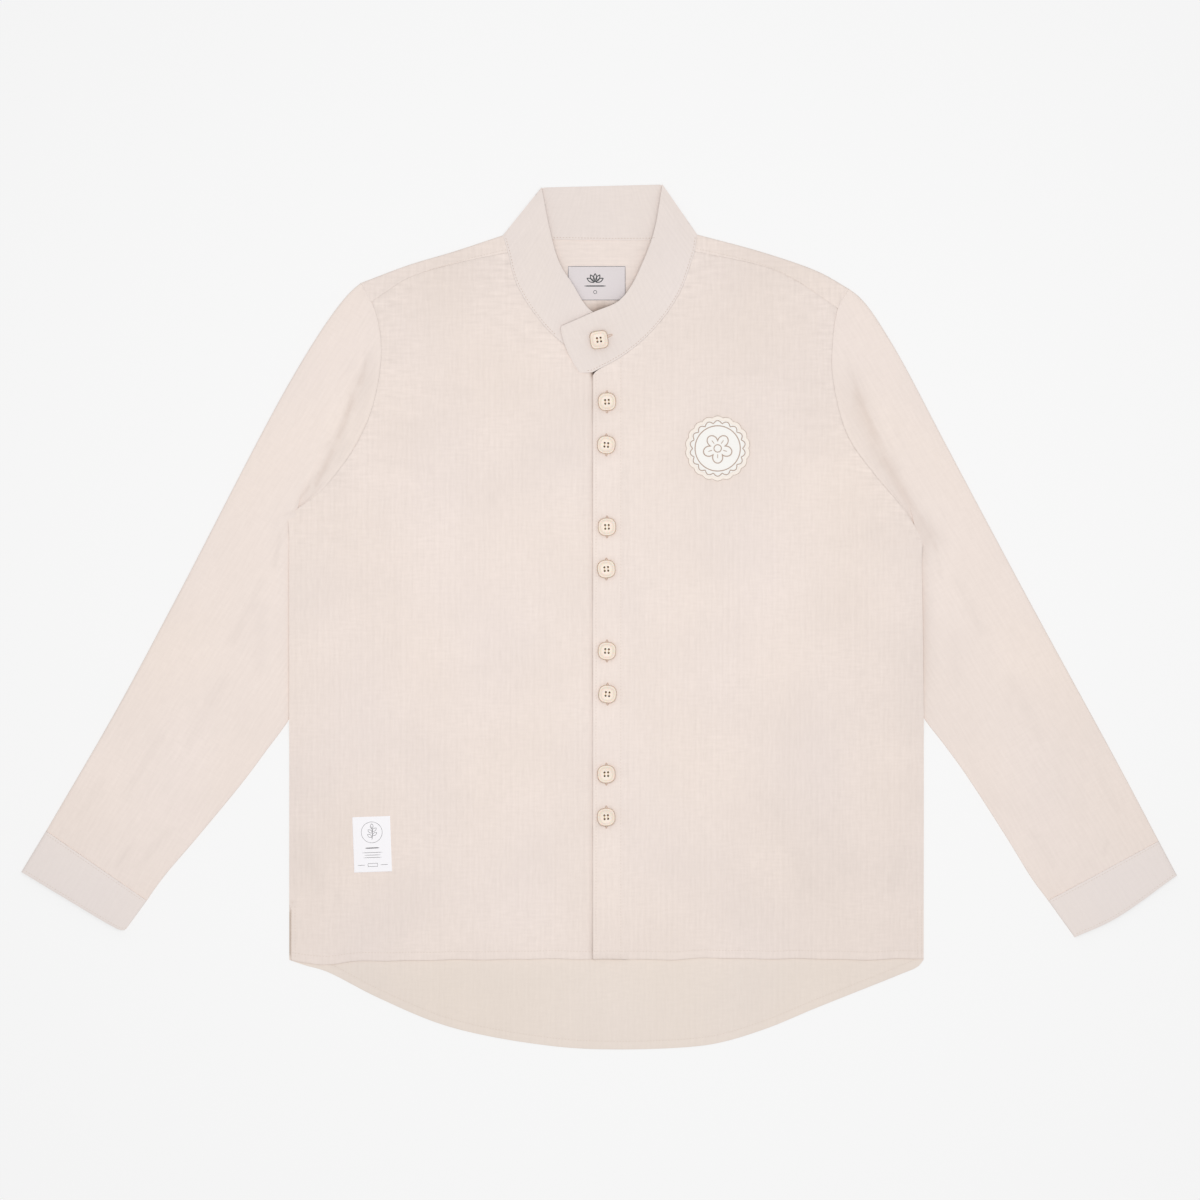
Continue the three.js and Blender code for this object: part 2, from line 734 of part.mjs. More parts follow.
// The collar's stations from the tab, over the left front, round the back and to the right front.
// Each has its points on the neck seam and on the free edge, and says how the band lies there.
function collarStations() {
  const neckShares = evenly(NECK_ROWS);
  const overSeam = [
    new THREE.Vector3(tabCorner.x, tabCorner.y, 0),
    ...neckShares.map((k) => leftHalf.neck.getPointAt(1 - k)),
  ];
  const underSeam = neckShares.map((k) => rightHalf.neck.getPointAt(k));
  const overFree = curveOf(overBandFree);
  const underFree = curveOf(underBandFree);
  const leftNeck = leftHalf.shoulder.getPointAt(1);
  const rightNeck = rightHalf.shoulder.getPointAt(1);
  const stations = [];
  const overShares = lengthShares([...overSeam, leftNeck]);
  overSeam.forEach((seam, k) => {
    stations.push({ seam, free: overFree.getPointAt(overShares[k]), lies: 'over' });
  });
  for (const turn of FOLD_TURNS) {
    stations.push({ seam: leftNeck, free: collarTop.left, lies: 'fold', turn, inward: -1 });
  }
  const neckCurve = curveOf(backNeck);
  for (const k of evenly(COLLAR_BACK).slice(1, -1)) {
    const free = between(collarTop.left, collarTop.right, k);
    stations.push({ seam: neckCurve.getPointAt(1 - k), free, lies: 'back' });
  }
  for (const turn of [...FOLD_TURNS].reverse()) {
    stations.push({ seam: rightNeck, free: collarTop.right, lies: 'fold', turn, inward: 1 });
  }
  const underShares = lengthShares([rightNeck, ...underSeam]).slice(1);
  underSeam.forEach((seam, k) => {
    const free = underFree.getPointAt(underShares[k]);
    stations.push({ seam, free, lies: 'under', share: neckShares[k] });
  });
  return stations;
}

// Share of the whole length at which each point of a chain lies
function lengthShares(chain) {
  const reached = [0];
  for (let k = 1; k < chain.length; k += 1) {
    reached.push(reached[k - 1] + chain[k].distanceTo(chain[k - 1]));
  }
  return reached.map((length) => length / reached[chain.length - 1]);
}

function collarMesh() {
  const stations = collarStations();
  return wallMesh(stations.length - 1, COLLAR_ACROSS, (i, j) => {
    const { seam, free, lies, turn, inward, share } = stations[i];
    const width = Math.hypot(free.x - seam.x, free.y - seam.y);
    const v = lerp(SEAM / width, 1, j / COLLAR_ACROSS);
    const point = between(seam, free, v);
    if (lies === 'fold') {
      const aside = new THREE.Vector3(free.y - seam.y, seam.x - free.x, 0).multiplyScalar(inward / width);
      const place = (distance) => point.clone().addScaledVector(aside, distance);
      return foldAt(place, COLLAR_FOLD, COLLAR_CLOTH, turn);
    }
    if (lies === 'back') {
      return {
        face: point.clone().setZ(0),
        lining: point.clone().setZ(COLLAR_CLOTH),
      };
    }
    const { x, y } = point;
    const isOver = lies === 'over';
    const fall = smoothstep(share, UNDER_BAND_FALL.from, UNDER_BAND_FALL.to);
    const rise = BAND_RISE * Math.sin((v * Math.PI) / 2) * (isOver ? 1 : 1 - fall);
    const lap = isOver ? lapLift(x) + STAND_STEP * (1 - smoothstep(x, STAND_FADE.from, STAND_FADE.to)) : 0;
    const top = Math.max(frontUnder(x, y) + CLOTH + lap + rise, 2 * COLLAR_FOLD);
    return {
      face: point.clone().setZ(top),
      lining: point.clone().setZ(top - COLLAR_CLOTH),
    };
  });
}

// Height of a mesh's upper side at one place
function topOf(mesh, x, y) {
  const ray = new THREE.Raycaster(new THREE.Vector3(x, y, ABOVE_ALL), new THREE.Vector3(0, 0, -1));
  return ABOVE_ALL - ray.intersectObject(mesh)[0].distance;
}

// A label sewn flat on a piece, following that piece's own height
function labelMesh({ x, y, width, height, turn }, carrier) {
  const angle = degToRad(turn);
  const { across, along } = LABEL_CELLS;
  return wallMesh(across, along, (i, j) => {
    const right = (i / across - 0.5) * width;
    const up = (j / along - 0.5) * height;
    const point = new THREE.Vector3(
      x + right * Math.cos(angle) - up * Math.sin(angle),
      y + right * Math.sin(angle) + up * Math.cos(angle),
      0,
    );
    return layer(point, topOf(carrier, point.x, point.y) + PLY, LABEL_CLOTH);
  });
}

// The applied patch: a round badge with a scalloped edge and a raised border
function patchMesh(carrier) {
  const { x, y, radius, scallops, depth, fade, partsEach } = PATCH;
  const around = scallops * partsEach;
  const positions = [];
  const centre = topOf(carrier, x, y) + PLY;
  positions.push(x, y, centre + PATCH_CLOTH, x, y, centre);
  for (const { share, raise } of PATCH_RINGS) {
    for (let k = 0; k < around; k += 1) {
      const angle = (2 * Math.PI * k) / around;
      const lobe = Math.abs(Math.sin((scallops * angle) / 2));
      const reach = share * (radius - depth * (1 - lobe) * share ** fade);
      const pointX = x + reach * Math.cos(angle);
      const pointY = y + reach * Math.sin(angle);
      const under = topOf(carrier, pointX, pointY) + PLY;
      positions.push(pointX, pointY, under + PATCH_CLOTH + raise, pointX, pointY, under);
    }
  }
  const at = (ring, k) => 2 + 2 * (ring * around + (k % around));
  const index = [];
  for (let k = 0; k < around; k += 1) {
    index.push(0, at(0, k), at(0, k + 1));
    index.push(1, at(0, k + 1) + 1, at(0, k) + 1);
    for (let ring = 1; ring < PATCH_RINGS.length; ring += 1) {
      const [a, b, c, d] = [at(ring - 1, k), at(ring, k), at(ring, k + 1), at(ring - 1, k + 1)];
      index.push(a, b, c, a, c, d);
      index.push(a + 1, c + 1, b + 1, a + 1, d + 1, c + 1);
    }
    const [e, f] = [at(PATCH_RINGS.length - 1, k), at(PATCH_RINGS.length - 1, k + 1)];
    index.push(e, e + 1, f + 1, e, f + 1, f);
  }
  return solidOf(positions, index);
}

const wasm = await Module();
wasm.setup();

function manifoldOf(geometry) {
  const bare = geometry.clone();
  bare.deleteAttribute('normal');
  bare.deleteAttribute('uv');
  const merged = mergeVertices(bare, MERGE_REACH);
  const vertProperties = new Float32Array(merged.attributes.position.array);
  const triVerts = new Uint32Array(merged.index.array);
  return new wasm.Manifold(new wasm.Mesh({ numProp: 3, vertProperties, triVerts }));
}

// A cushion-shaped four-hole button with a raised rim, lying on z = 0
function buttonGeometry() {
  const { squareness, cornerReach, around } = BUTTON;
  const positions = [];
  for (const ring of BUTTON_RINGS) {
    for (let k = 0; k < around; k += 1) {
      const angle = (2 * Math.PI * k) / around;
      const [c, s] = [Math.cos(angle), Math.sin(angle)];
      const spread = (Math.abs(c) ** squareness + Math.abs(s) ** squareness) ** (1 / squareness);
      const corner = ring.radius * Math.min(1 / spread, cornerReach);
      positions.push(corner * c, corner * s, ring.height);
    }
  }
  const rings = BUTTON_RINGS.length;
  const low = rings * around;
  positions.push(0, 0, BUTTON_RINGS[0].height, 0, 0, BUTTON_RINGS[rings - 1].height);
  const index = [];
  for (let k = 0; k < around; k += 1) {
    const next = (k + 1) % around;
    index.push(low, next, k);
    index.push(low + 1, (rings - 1) * around + k, (rings - 1) * around + next);
    for (let ring = 1; ring < rings; ring += 1) {
      const [a, b] = [(ring - 1) * around + k, (ring - 1) * around + next];
      index.push(a, b, b + around, a, b + around, a + around);
    }
  }
  let button = manifoldOf(solidOf(positions, index));
  for (const [right, up] of [[1, 1], [-1, 1], [-1, -1], [1, -1]]) {
    const hole = new THREE.CylinderGeometry(
      BUTTON_HOLE.radius,
      BUTTON_HOLE.radius,
      BUTTON_HOLE.length,
      BUTTON_HOLE.sides,
    );
    hole.rotateX(Math.PI / 2);
    hole.translate(right * BUTTON_HOLE.spread, up * BUTTON_HOLE.spread, 0);
    button = button.subtract(manifoldOf(hole));
  }
  const mesh = button.getMesh();
  const geometry = new THREE.BufferGeometry();
  geometry.setAttribute('position', new THREE.BufferAttribute(mesh.vertProperties, 3));
  geometry.setIndex(new THREE.BufferAttribute(mesh.triVerts, 1));
  geometry.computeVertexNormals();
  return geometry;
}

// Sets a button on the highest place of the cloth under its rim
function addButton(name, { x, y }, carrier) {
  const mesh = addPiece(name, buttonGeometry(), BUTTON_COLOUR, BUTTON_ROUGHNESS);
  const reach = BUTTON_RINGS[0].radius;
  const heights = evenly(BUTTON_SEATS).map((k) => {
    const angle = 2 * Math.PI * k;
    return topOf(carrier, x + reach * Math.cos(angle), y + reach * Math.sin(angle));
  });
  mesh.position.set(x, y, Math.max(...heights, topOf(carrier, x, y)) + PLY);
}

addPiece('back', backMesh(), BACK_COLOUR);
const yoke = addPiece('yoke', yokeMesh(), SHIRT_COLOUR);
const frontRight = addPiece('front_right', frontMesh(rightHalf, UNDER_EDGE, false), SHIRT_COLOUR);
const frontLeft = addPiece('front_left', frontMesh(leftHalf, OVER_EDGE, true), SHIRT_COLOUR);
addPiece('sleeve_right', sleeveMesh(rightHalf), SLEEVE_COLOUR);
addPiece('sleeve_left', sleeveMesh(leftHalf), SLEEVE_COLOUR);
addPiece('cuff_right', cuffMesh(rightHalf), CUFF_COLOUR);
addPiece('cuff_left', cuffMesh(leftHalf), CUFF_COLOUR);
const collar = addPiece('collar', collarMesh(), COLLAR_COLOUR);

addButton('button_collar', COLLAR_BUTTON, collar);
FRONT_BUTTONS.forEach((place, k) => addButton(`button_${k + 1}`, place, frontLeft));
addPiece('chest_patch', patchMesh(frontLeft), PATCH_COLOUR);
addPiece('hem_label', labelMesh(HEM_LABEL, frontRight), HEM_LABEL_COLOUR);
addPiece('neck_label', labelMesh(NECK_LABEL, yoke), NECK_LABEL_COLOUR);

// The origin goes under the middle of the whole shirt, on the surface
const box = new THREE.Box3().setFromObject(group);
const middle = box.getCenter(new THREE.Vector3());
group.position.set(-middle.x, -middle.y, -box.min.z);

export default group;
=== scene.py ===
"""A long-sleeved cotton shirt with an upright band collar, buttoned and laid flat, front side up.

Shapes are worked out in millimetres: x from the centre line towards the wearer's left, y up from the
front hem and z up off the surface. The last step of every piece turns them to metres in the frame.
"""

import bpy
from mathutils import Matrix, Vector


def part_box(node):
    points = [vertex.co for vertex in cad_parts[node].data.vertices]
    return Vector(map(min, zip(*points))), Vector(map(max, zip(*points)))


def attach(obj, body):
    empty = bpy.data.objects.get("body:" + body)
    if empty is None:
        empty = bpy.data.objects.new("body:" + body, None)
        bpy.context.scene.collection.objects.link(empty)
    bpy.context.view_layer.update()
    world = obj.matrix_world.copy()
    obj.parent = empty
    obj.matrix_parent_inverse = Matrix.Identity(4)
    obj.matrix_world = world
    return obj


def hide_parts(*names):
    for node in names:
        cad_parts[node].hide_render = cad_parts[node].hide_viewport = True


bl_info = {
    "name": "Laid Flat Shirt",
    "version": (1, 0, 0),
    "blender": (4, 5, 0),
    "location": "View3D > Sidebar > Shirt",
    "description": "Dresses the shirt in creased cotton, stitching, buttons, a patch and labels",
    "category": "Object",
}

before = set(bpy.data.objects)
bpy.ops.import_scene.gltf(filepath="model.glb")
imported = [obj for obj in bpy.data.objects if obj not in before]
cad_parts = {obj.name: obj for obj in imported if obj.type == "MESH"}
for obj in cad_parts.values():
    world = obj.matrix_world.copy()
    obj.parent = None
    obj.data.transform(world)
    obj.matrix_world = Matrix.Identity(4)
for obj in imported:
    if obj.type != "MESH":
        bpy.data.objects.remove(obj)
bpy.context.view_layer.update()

import math

import bpy
import numpy as np
from bpy.props import FloatProperty, FloatVectorProperty, PointerProperty
from mathutils.bvhtree import BVHTree

# Sizes in millimetres

# Free edges of the left front, which laps over, and of the right one, and the turned stand's width
OVER_EDGE, UNDER_EDGE, STAND_WIDTH = -12.4, 14.7, 26.0
# How far the left front is lifted where it laps, and from where to where it comes down
LAP_LIFT, LAP = 1.5, (30.0, 110.0)
HALF_CHEST = 291.5
# How far the body's side rides up on the sleeve under it, and from where to where inside the side
TUCK_LIFT, TUCK = 3.5, (24.0, 70.0)
# Parts of a front's height: side, armhole, and how much of the armhole's part is beside the neck
SIDE_ROWS, FRONT_ROWS, NECK_ROWS, BACK_ROWS = 12, 9, 6, 8
# Where the yoke's seams meet the armhole, as shares of it, and a wing's share of the back seam
YOKE_BACK_SHARE, YOKE_SHARE, WING_SHARE = 0.8, 0.92, 0.3
# Lengths for the spacing of the grids: a front's side, its armhole below the neck and beside the neck; the
# back's width, side and armhole; a wing of the yoke across and in front of its fold; and between the wings
FRONT_LENGTHS, BACK_LENGTHS, YOKE_LENGTHS = (400, 75, 150), (584, 409, 170), (140, 16, 176)
SLIT, HEM = 50.0, 7.4
BODY_FOLD, CUFF_FOLD, COLLAR_FOLD = 1.7, 2.2, 1.9
# Gap between two pieces that are sewn edge to edge
SEAM = 0.08
# The collar's width over the left front, its width elsewhere, and its length behind the neck
CUFF_DEPTH, BAND_WIDTH, BAND_WIDTH_UNDER, BAND_BACK = 41.0, 46.0, 47.0, 150.0
SHOULDER_TOP, SHOULDER_START, SHOULDER_SLOPE = 667.5, 90.0, 0.36
UNDERARM_THIN = 0.8
STITCH_PITCH, STITCH_LENGTH, STITCH_RADIUS = 2.8, 2.1, 0.24
# Rows of stitches, from the edge or the seam beside them
SLIT_ROWS, YOKE_ROW, STAND_ROW = (2.0, 5.4), 3.0, 3.2
CUFF_SEAM_ROW, CUFF_END_ROW, COLLAR_ROW = 2.2, 2.6, 1.8
MM_IN_METRE, SMOOTH_ANGLE, BUTTON_ANGLE = 1000, 50, 40
# Height in metres from which the pieces are sounded, and a stitch's middle above the cloth
RAY_START, STITCH_LIFT = 0.1, 0.02
# The stage, in metres: half the floor's width, its height, and the softbox; its place in millimetres
FLOOR_REACH, FLOOR_HEIGHT, SOFTBOX_SIZE, SOFTBOX_PLACE = 9, -0.0002, 0.7, (40.0, 380.0, 1400.0)
SENSOR, CLOTH_HEIGHT = 36, 4.0
# The photo's scale, its size in pixels, and the pixel where x and y are 0
PHOTO_SCALE, PHOTO_SIZE, PHOTO_ORIGIN = 0.92, 1200, (606, 960)

RIGHT = {
    "outward": -1,
    "side": [(-291.5, 0), (-291.5, 409)],
    "armhole": [
        (-291.5, 409), (-265, 429), (-243.2, 454.2), (-228.9, 476), (-214.6, 509.7), (-206.7, 560.4),
        (-211.8, 595.8), (-225.4, 623.0),
    ],
    "shoulder": [(-225.4, 623.0), (-181, 639.6), (-140.7, 651.6), (-94.8, 666.8)],
    "yoke_seam": [(-213.5, 601), (-180, 624.3), (-140, 638.5), (-90.2, 651)],
    "neck": [
        (-90.2, 651), (-82.3, 621.6), (-59.4, 586.4), (-38.1, 565.8), (-12, 548.5), (UNDER_EDGE, 537.5),
    ],
    "outer": [
        (-225.4, 623.0), (-241.8, 609.5), (-254.6, 593.4), (-292, 531.1), (-396.2, 331.4),
        (-451.5, 228.4), (-515.2, 118.7),
    ],
    "inner": [
        (-292.6, 408.6), (-289.5, 397), (-286, 382), (-282.5, 362), (-279, 338), (-276, 308), (-276, 278),
        (-280, 246), (-291, 222.5), (-313, 192), (-334.4, 163.4), (-378.2, 110.3), (-403, 81.4),
        (-414.3, 66.7), (-422.6, 54.6),
    ],
    "cuff_seam": [(-515.2, 118.7), (-422.6, 54.6)],
    "cuff_end": [(-538, 81), (-497.8, 56.8), (-455, 31.4), (-447.2, 27.7), (-443, 27.6), (-440.3, 30.2)],
}
LEFT = {
    "outward": 1,
    "side": [(292.3, 0), (292.3, 222), (290.3, 387)],
    "armhole": [
        (290.3, 387), (273.5, 415), (246.5, 447.5), (221.8, 483.6), (208.6, 536), (208.4, 569.1),
        (213.4, 600.2), (223.4, 617.6),
    ],
    "shoulder": [(223.4, 617.6), (196.2, 632.9), (146.3, 650.5), (83.9, 667.5)],
    "yoke_seam": [(211.9, 596), (171.1, 624.3), (146.3, 636), (81.8, 652)],
    "neck": [(81.8, 652), (67.2, 612.4), (44.2, 580.5), (16.8, 556.7), (OVER_EDGE, 540.5)],
    "outer": [
        (223.4, 617.6), (243.3, 601.8), (266, 565), (310.7, 478.5), (389.1, 331.1), (472.3, 178.2),
        (508.6, 109.4),
    ],
    "inner": [
        (291.6, 386.8), (289, 375), (286.5, 360), (283, 340), (279, 314), (277, 290), (278, 264),
        (283, 242), (292.6, 222.5), (311.2, 198), (330, 172.2), (370, 110.4), (391.8, 75), (406.9, 54.6),
    ],
    "cuff_seam": [(508.6, 109.4), (406.9, 54.6)],
    "cuff_end": [(525.3, 77.8), (468.2, 37.8), (431.2, 20.8)],
}
TAIL_HEM = [
    (-291.5, 0), (-277, -5), (-258, -10.4), (-210.1, -34.6), (-144.3, -61.5), (-50.6, -79.2),
    (12.9, -82.4), (82, -79.6), (109, -75.2), (150, -62.3), (190, -45.6), (231, -29.2), (271, -13.2),
    (287, -6.2), (292.3, 0),
]
HEM_WAVES = [
    (-300, 0.5), (-291.5, -0.3), (-277, -2.9), (-263, -4.3), (-250, -3.5), (-235, -1.7), (-205, -0.9),
    (-140, 0), (-60, 0.8), (8, 0.8), (60, 0.3), (85, 1.5), (150, 1.0), (200, 0.9), (245, 0), (278, 1.2),
    (300, 1.2),
]
BACK_NECK = [(-94.8, 665.1), (-50, 663.2), (48, 662.7), (83.9, 665.8)]
COLLAR_TOP = {"right": (-59.4, 710.8), "left": (51.9, 713.6)}
TAB_CORNER = (-24.4, 540)
UNDER_FREE = [
    (-59.4, 710.8), (-50.3, 665.8), (-42.7, 641.3), (-30.5, 621.6), (-14.4, 598), (11, 587),
]
OVER_FREE = [
    (-42, 582.6), (-10.7, 596.3), (10.7, 605.5), (21.2, 617), (33.6, 641.3), (44.2, 670.3), (51.9, 713.6),
]

# Wide hollows beside the armholes: from x, y to x, y, the side they open to, width of the wall and of the
# floor, bow and depth
ARMHOLE_HOLLOWS = [
    (-217, 560, -285, 408, -1, 11, 38, 4.5, 2.6),
    (228, 536, 308, 380, 1, 15, 26, 8, 2.4),
]

# Soft troughs: from x, y to x, y, half width and depth. A negative depth is a ridge.
SLEEVE_FOLDS = [
    (-330, 300, -380, 190, 16, 0.8), (-372, 270, -440, 150, 14, 0.6),
    (345, 310, 400, 190, 15, 0.8), (400, 245, 450, 120, 13, 0.6),
]
SLEEVE_CREASES = [
    (-224, 556, -234, 522, 1.9, -0.35), (-238, 518, -254, 478, 1.9, -0.4), (-257, 470, -272, 436, 1.9, -0.35),
    (-218, 560, -227, 528, 1.8, 0.3), (-232, 516, -247, 480, 1.8, 0.3), (-251, 470, -268, 434, 1.9, 0.3),
    (-264, 450, -286, 416, 2.0, 0.35), (-268, 436, -290, 412, 1.8, -0.3), (-230, 552, -240, 540, 1.8, 0.3),
    (-246, 458, -262, 438, 2.0, -0.3), (-232, 504, -238, 482, 2.2, -0.3), (-283, 414, -297, 409, 1.8, 0.6),
    (-228, 540, -240, 500, 2.4, 0.25), (-262, 466, -276, 440, 1.8, -0.3), (-300, 392, -306, 360, 2.4, 0.5),
    (-316, 350, -345, 290, 5, 0.35),
    (-350, 262, -388, 196, 6, 0.3), (-408, 210, -446, 148, 5, 0.3), (-462, 168, -488, 128, 4, 0.3),
    (-402, 120, -432, 84, 4, 0.35), (-438, 105, -452, 84, 2.5, 0.4), (-318, 330, -318, 262, 7, 0.3),
    (230, 524, 246, 484, 3.0, 0.2), (240, 512, 262, 466, 2.0, -0.25), (254, 462, 280, 418, 3.0, 0.2),
    (220, 560, 231, 524, 2.0, 0.25), (272, 448, 296, 404, 2.2, -0.25), (262, 500, 280, 462, 3.0, 0.2),
    (302, 384, 309, 350, 2.4, 0.5), (322, 352, 348, 300, 5, 0.35), (372, 262, 402, 200, 6, 0.3),
    (330, 188, 362, 138, 5, 0.35), (450, 178, 474, 134, 4, 0.3), (392, 118, 414, 84, 4, 0.35),
    (487.6, 96, 484, 86, 1.3, 0.5), (462, 110, 458, 96, 2.2, 0.35), (322, 300, 322, 250, 7, 0.3),
]
FRONT_FOLDS = [
    (-222, 470, -150, 300, 22, 0.8), (-120, 420, -100, 120, 26, 0.6), (215, 480, 160, 310, 22, 0.7),
    (118, 380, 96, 110, 28, 0.6),
]
FRONT_CREASES = [
    (-205, 520, -168, 514, 2.5, 0.3), (-203, 508, -158, 500, 2.2, -0.22), (-208, 497, -172, 492, 2.4, 0.28),
    (-215, 484, -186, 480, 2.0, 0.25), (-188, 530, -120, 522, 5, 0.25), (-218, 462, -160, 452, 3.2, 0.28),
    (-226, 446, -170, 436, 3.0, -0.2), (-204, 560, -176, 556, 2.4, 0.25), (-90, 585, -60, 560, 3, 0.3),
    (-272, 396, -226, 380, 5, 0.3), (-282, 120, -262, 60, 6, 0.3), (-60, 470, -30, 468, 3, 0.2),
    (205, 530, 162, 536, 2.5, 0.3), (204, 518, 150, 522, 2.2, -0.22), (207, 504, 160, 507, 2.4, 0.28),
    (214, 489, 178, 492, 2.2, 0.25), (150, 545, 100, 540, 4, 0.22), (217, 466, 168, 470, 3.0, 0.25),
    (9.5, 506, 26, 499.5, 1.5, 0.5), (12, 503, 32, 500, 1.6, -0.3), (9, 468, 21, 462, 1.5, 0.4),
    (-4, 510, -12, 511, 1.4, 0.35), (9, 392, 20, 388, 1.4, 0.35), (9, 356, 18, 351, 1.4, 0.3),
    (-5, 361, -12, 362, 1.4, 0.3), (8, 240, 19, 236, 1.4, 0.35), (-5, 246, -12, 245, 1.4, 0.3),
    (8, 128, 18, 124, 1.4, 0.35), (-5, 123, -12, 121, 1.5, 0.45), (9, 175, 19, 173, 1.4, 0.3),
    (262, 402, 214, 380, 5, 0.3), (276, 110, 262, 60, 6, 0.3), (150, 150, 190, 60, 9, 0.25),
]
TAIL_CREASES = [
    (118, -60, 124, -70, 1.8, 0.25), (128, -56, 134, -66, 1.6, -0.2), (108, -64, 113, -73, 1.6, 0.2),
    (30, -72, 34, -82, 1.8, 0.2), (150, -50, 158, -58, 1.8, 0.2), (-120, -55, -128, -64, 2, 0.18),
    (-215, -22, -190, -34, 3, 0.2), (60, -18, 100, -30, 4, 0.2), (-40, -30, -90, -22, 5, 0.2),
]
COLLAR_CREASES = [
    (-7, 579, -6, 592, 1.8, 0.35), (3, 572, 17, 577, 1.5, 0.4), (-18, 566, -34, 572, 2.4, 0.3),
    (40, 612, 62, 640, 3.2, 0.3), (-70, 640, -58, 672, 4.0, 0.35), (60, 662, 66, 694, 4.0, 0.3),
    (-52, 610, -40, 598, 3.0, 0.3),
]
# Short folds across the cuffs
CUFF_CREASES = [(485.2, 96.8, 491.3, 88, 1.1, 0.4), (-452, 62, -447, 50, 2.5, 0.2)]

# Broad painted light and shade on the cloth: x, y, reach and amount
BROAD_PAINTED_SHADES = [
    (-120, 290, 120, 0.02), (110, 290, 100, 0.01), (0, -10, 150, 0.012), (0, 650, 90, -0.01),
    (-160, 640, 60, -0.03), (150, 640, 60, -0.034), (230, 60, 90, -0.025), (-230, 60, 90, -0.018),
    (270, 250, 60, -0.045), (165, 515, 80, -0.02), (145, 80, 80, -0.018), (-280, 505, 90, 0.014),
    (-355, 330, 110, 0.012), (-440, 170, 90, 0.02), (72, 632, 26, 0.01), (-4, 562, 20, -0.02),
    (430, 170, 90, -0.02),
]

# Puckers beside the seams of a front: height, pitch, reach and seed
FRONT_PUCKERS = {
    "armhole": (0.18, 6.5, 14, 11), "yoke": (0.2, 6.5, 9, 12), "neck": (0.16, 6.5, 9, 13),
    "hem": (0.08, 6.5, 9, 14), "slit": (0.16, 6.0, 9, 15),
}

# Places of buttons, labels and patch: x, y
FRONT_BUTTONS = [
    (0.9, 513.4), (0.3, 473.8), (0.9, 398.4), (0.3, 359.7), (0.9, 284.3), (1.4, 244.7), (0.3, 171.1),
    (0.2, 131.6),
]
COLLAR_BUTTON = (-6.4, 570.4)
HOLE_PLACE, HOLE_RADIUS = 1.65, 0.98
# A button's profile, as radius and height, at this width
BUTTON_WIDTH, BUTTON_PROFILE = 16.5, [
    (0.0, 0.0), (5.6, 0.0), (7.2, 0.25), (8.0, 0.8), (8.25, 1.5), (8.15, 2.1), (7.8, 2.55), (7.3, 2.75),
    (6.8, 2.7), (6.3, 2.45), (5.7, 2.12), (4.8, 1.95), (2.4, 1.9), (0.0, 1.9),
]
BUTTON_TURNS = (3.0, -4.0, 2.0, 5.0, -3.0, -6.0, 2.0, 4.0)
HEM_LABEL = {"x": -215.1, "y": 106.5, "width": 34.8, "height": 51.0, "turn": 2.0}
NECK_LABEL = {"x": -8.5, "y": 622.8, "width": 53.0, "height": 31.5, "turn": 0.0}
PATCH = {"x": 102.7, "y": 470.6, "radius": 30.2, "scallops": 18, "depth": 1.6}


def linear(code):
    """sRGB hex to the linear colour that a shader reads."""
    parts = np.array([int(code[k : k + 2], 16) for k in (1, 3, 5)]) / 255
    value = np.where(parts <= 0.04045, parts / 12.92, ((parts + 0.055) / 1.055) ** 2.4)
    return (*value.tolist(), 1.0)


# Lines and sheets in plan


def smooth(value, low, high):
    """3t² − 2t³, where t is the value's share of the way from low to high, held to 0…1."""
    t = np.clip((np.asarray(value, float) - low) / (high - low), 0, 1)
    return t * t * (3 - 2 * t)


def gone(value, low, high):
    """1 up to low, and gone from high on."""
    return 1 - smooth(value, low, high)


def fall(away, reach):
    """exp(−away/reach)."""
    return np.exp(-away / reach)


def bell(away, reach):
    """exp(−(away/reach)²)."""
    return np.exp(-((away / reach) ** 2))


def across_up(plan):
    """The x and y of points."""
    return plan[..., 0], plan[..., 1]


def mix(start, end, share):
    """start + (end − start)·share, for points whose share may be an array."""
    start, end = np.asarray(start, float), np.asarray(end, float)
    return start + (end - start) * np.asarray(share, float)[..., None]


def distance(a, b):
    """Length of a − b."""
    return np.linalg.norm(a - b, axis=-1)


def circle(across, up, turn):
    """Points of an ellipse: (across·cos, up·sin) at each turn."""
    return np.stack([across * np.cos(turn), up * np.sin(turn)], -1)


def turned(plan, degrees):
    """Points of a plan turned anticlockwise about 0, 0."""
    angle = math.radians(degrees)
    return plan @ np.array([[math.cos(angle), math.sin(angle)], [-math.sin(angle), math.cos(angle)]])


def run_along(points):
    """Length of a line of points from its start to each of them."""
    return np.concatenate([[0], np.cumsum(distance(points[1:], points[:-1]))])


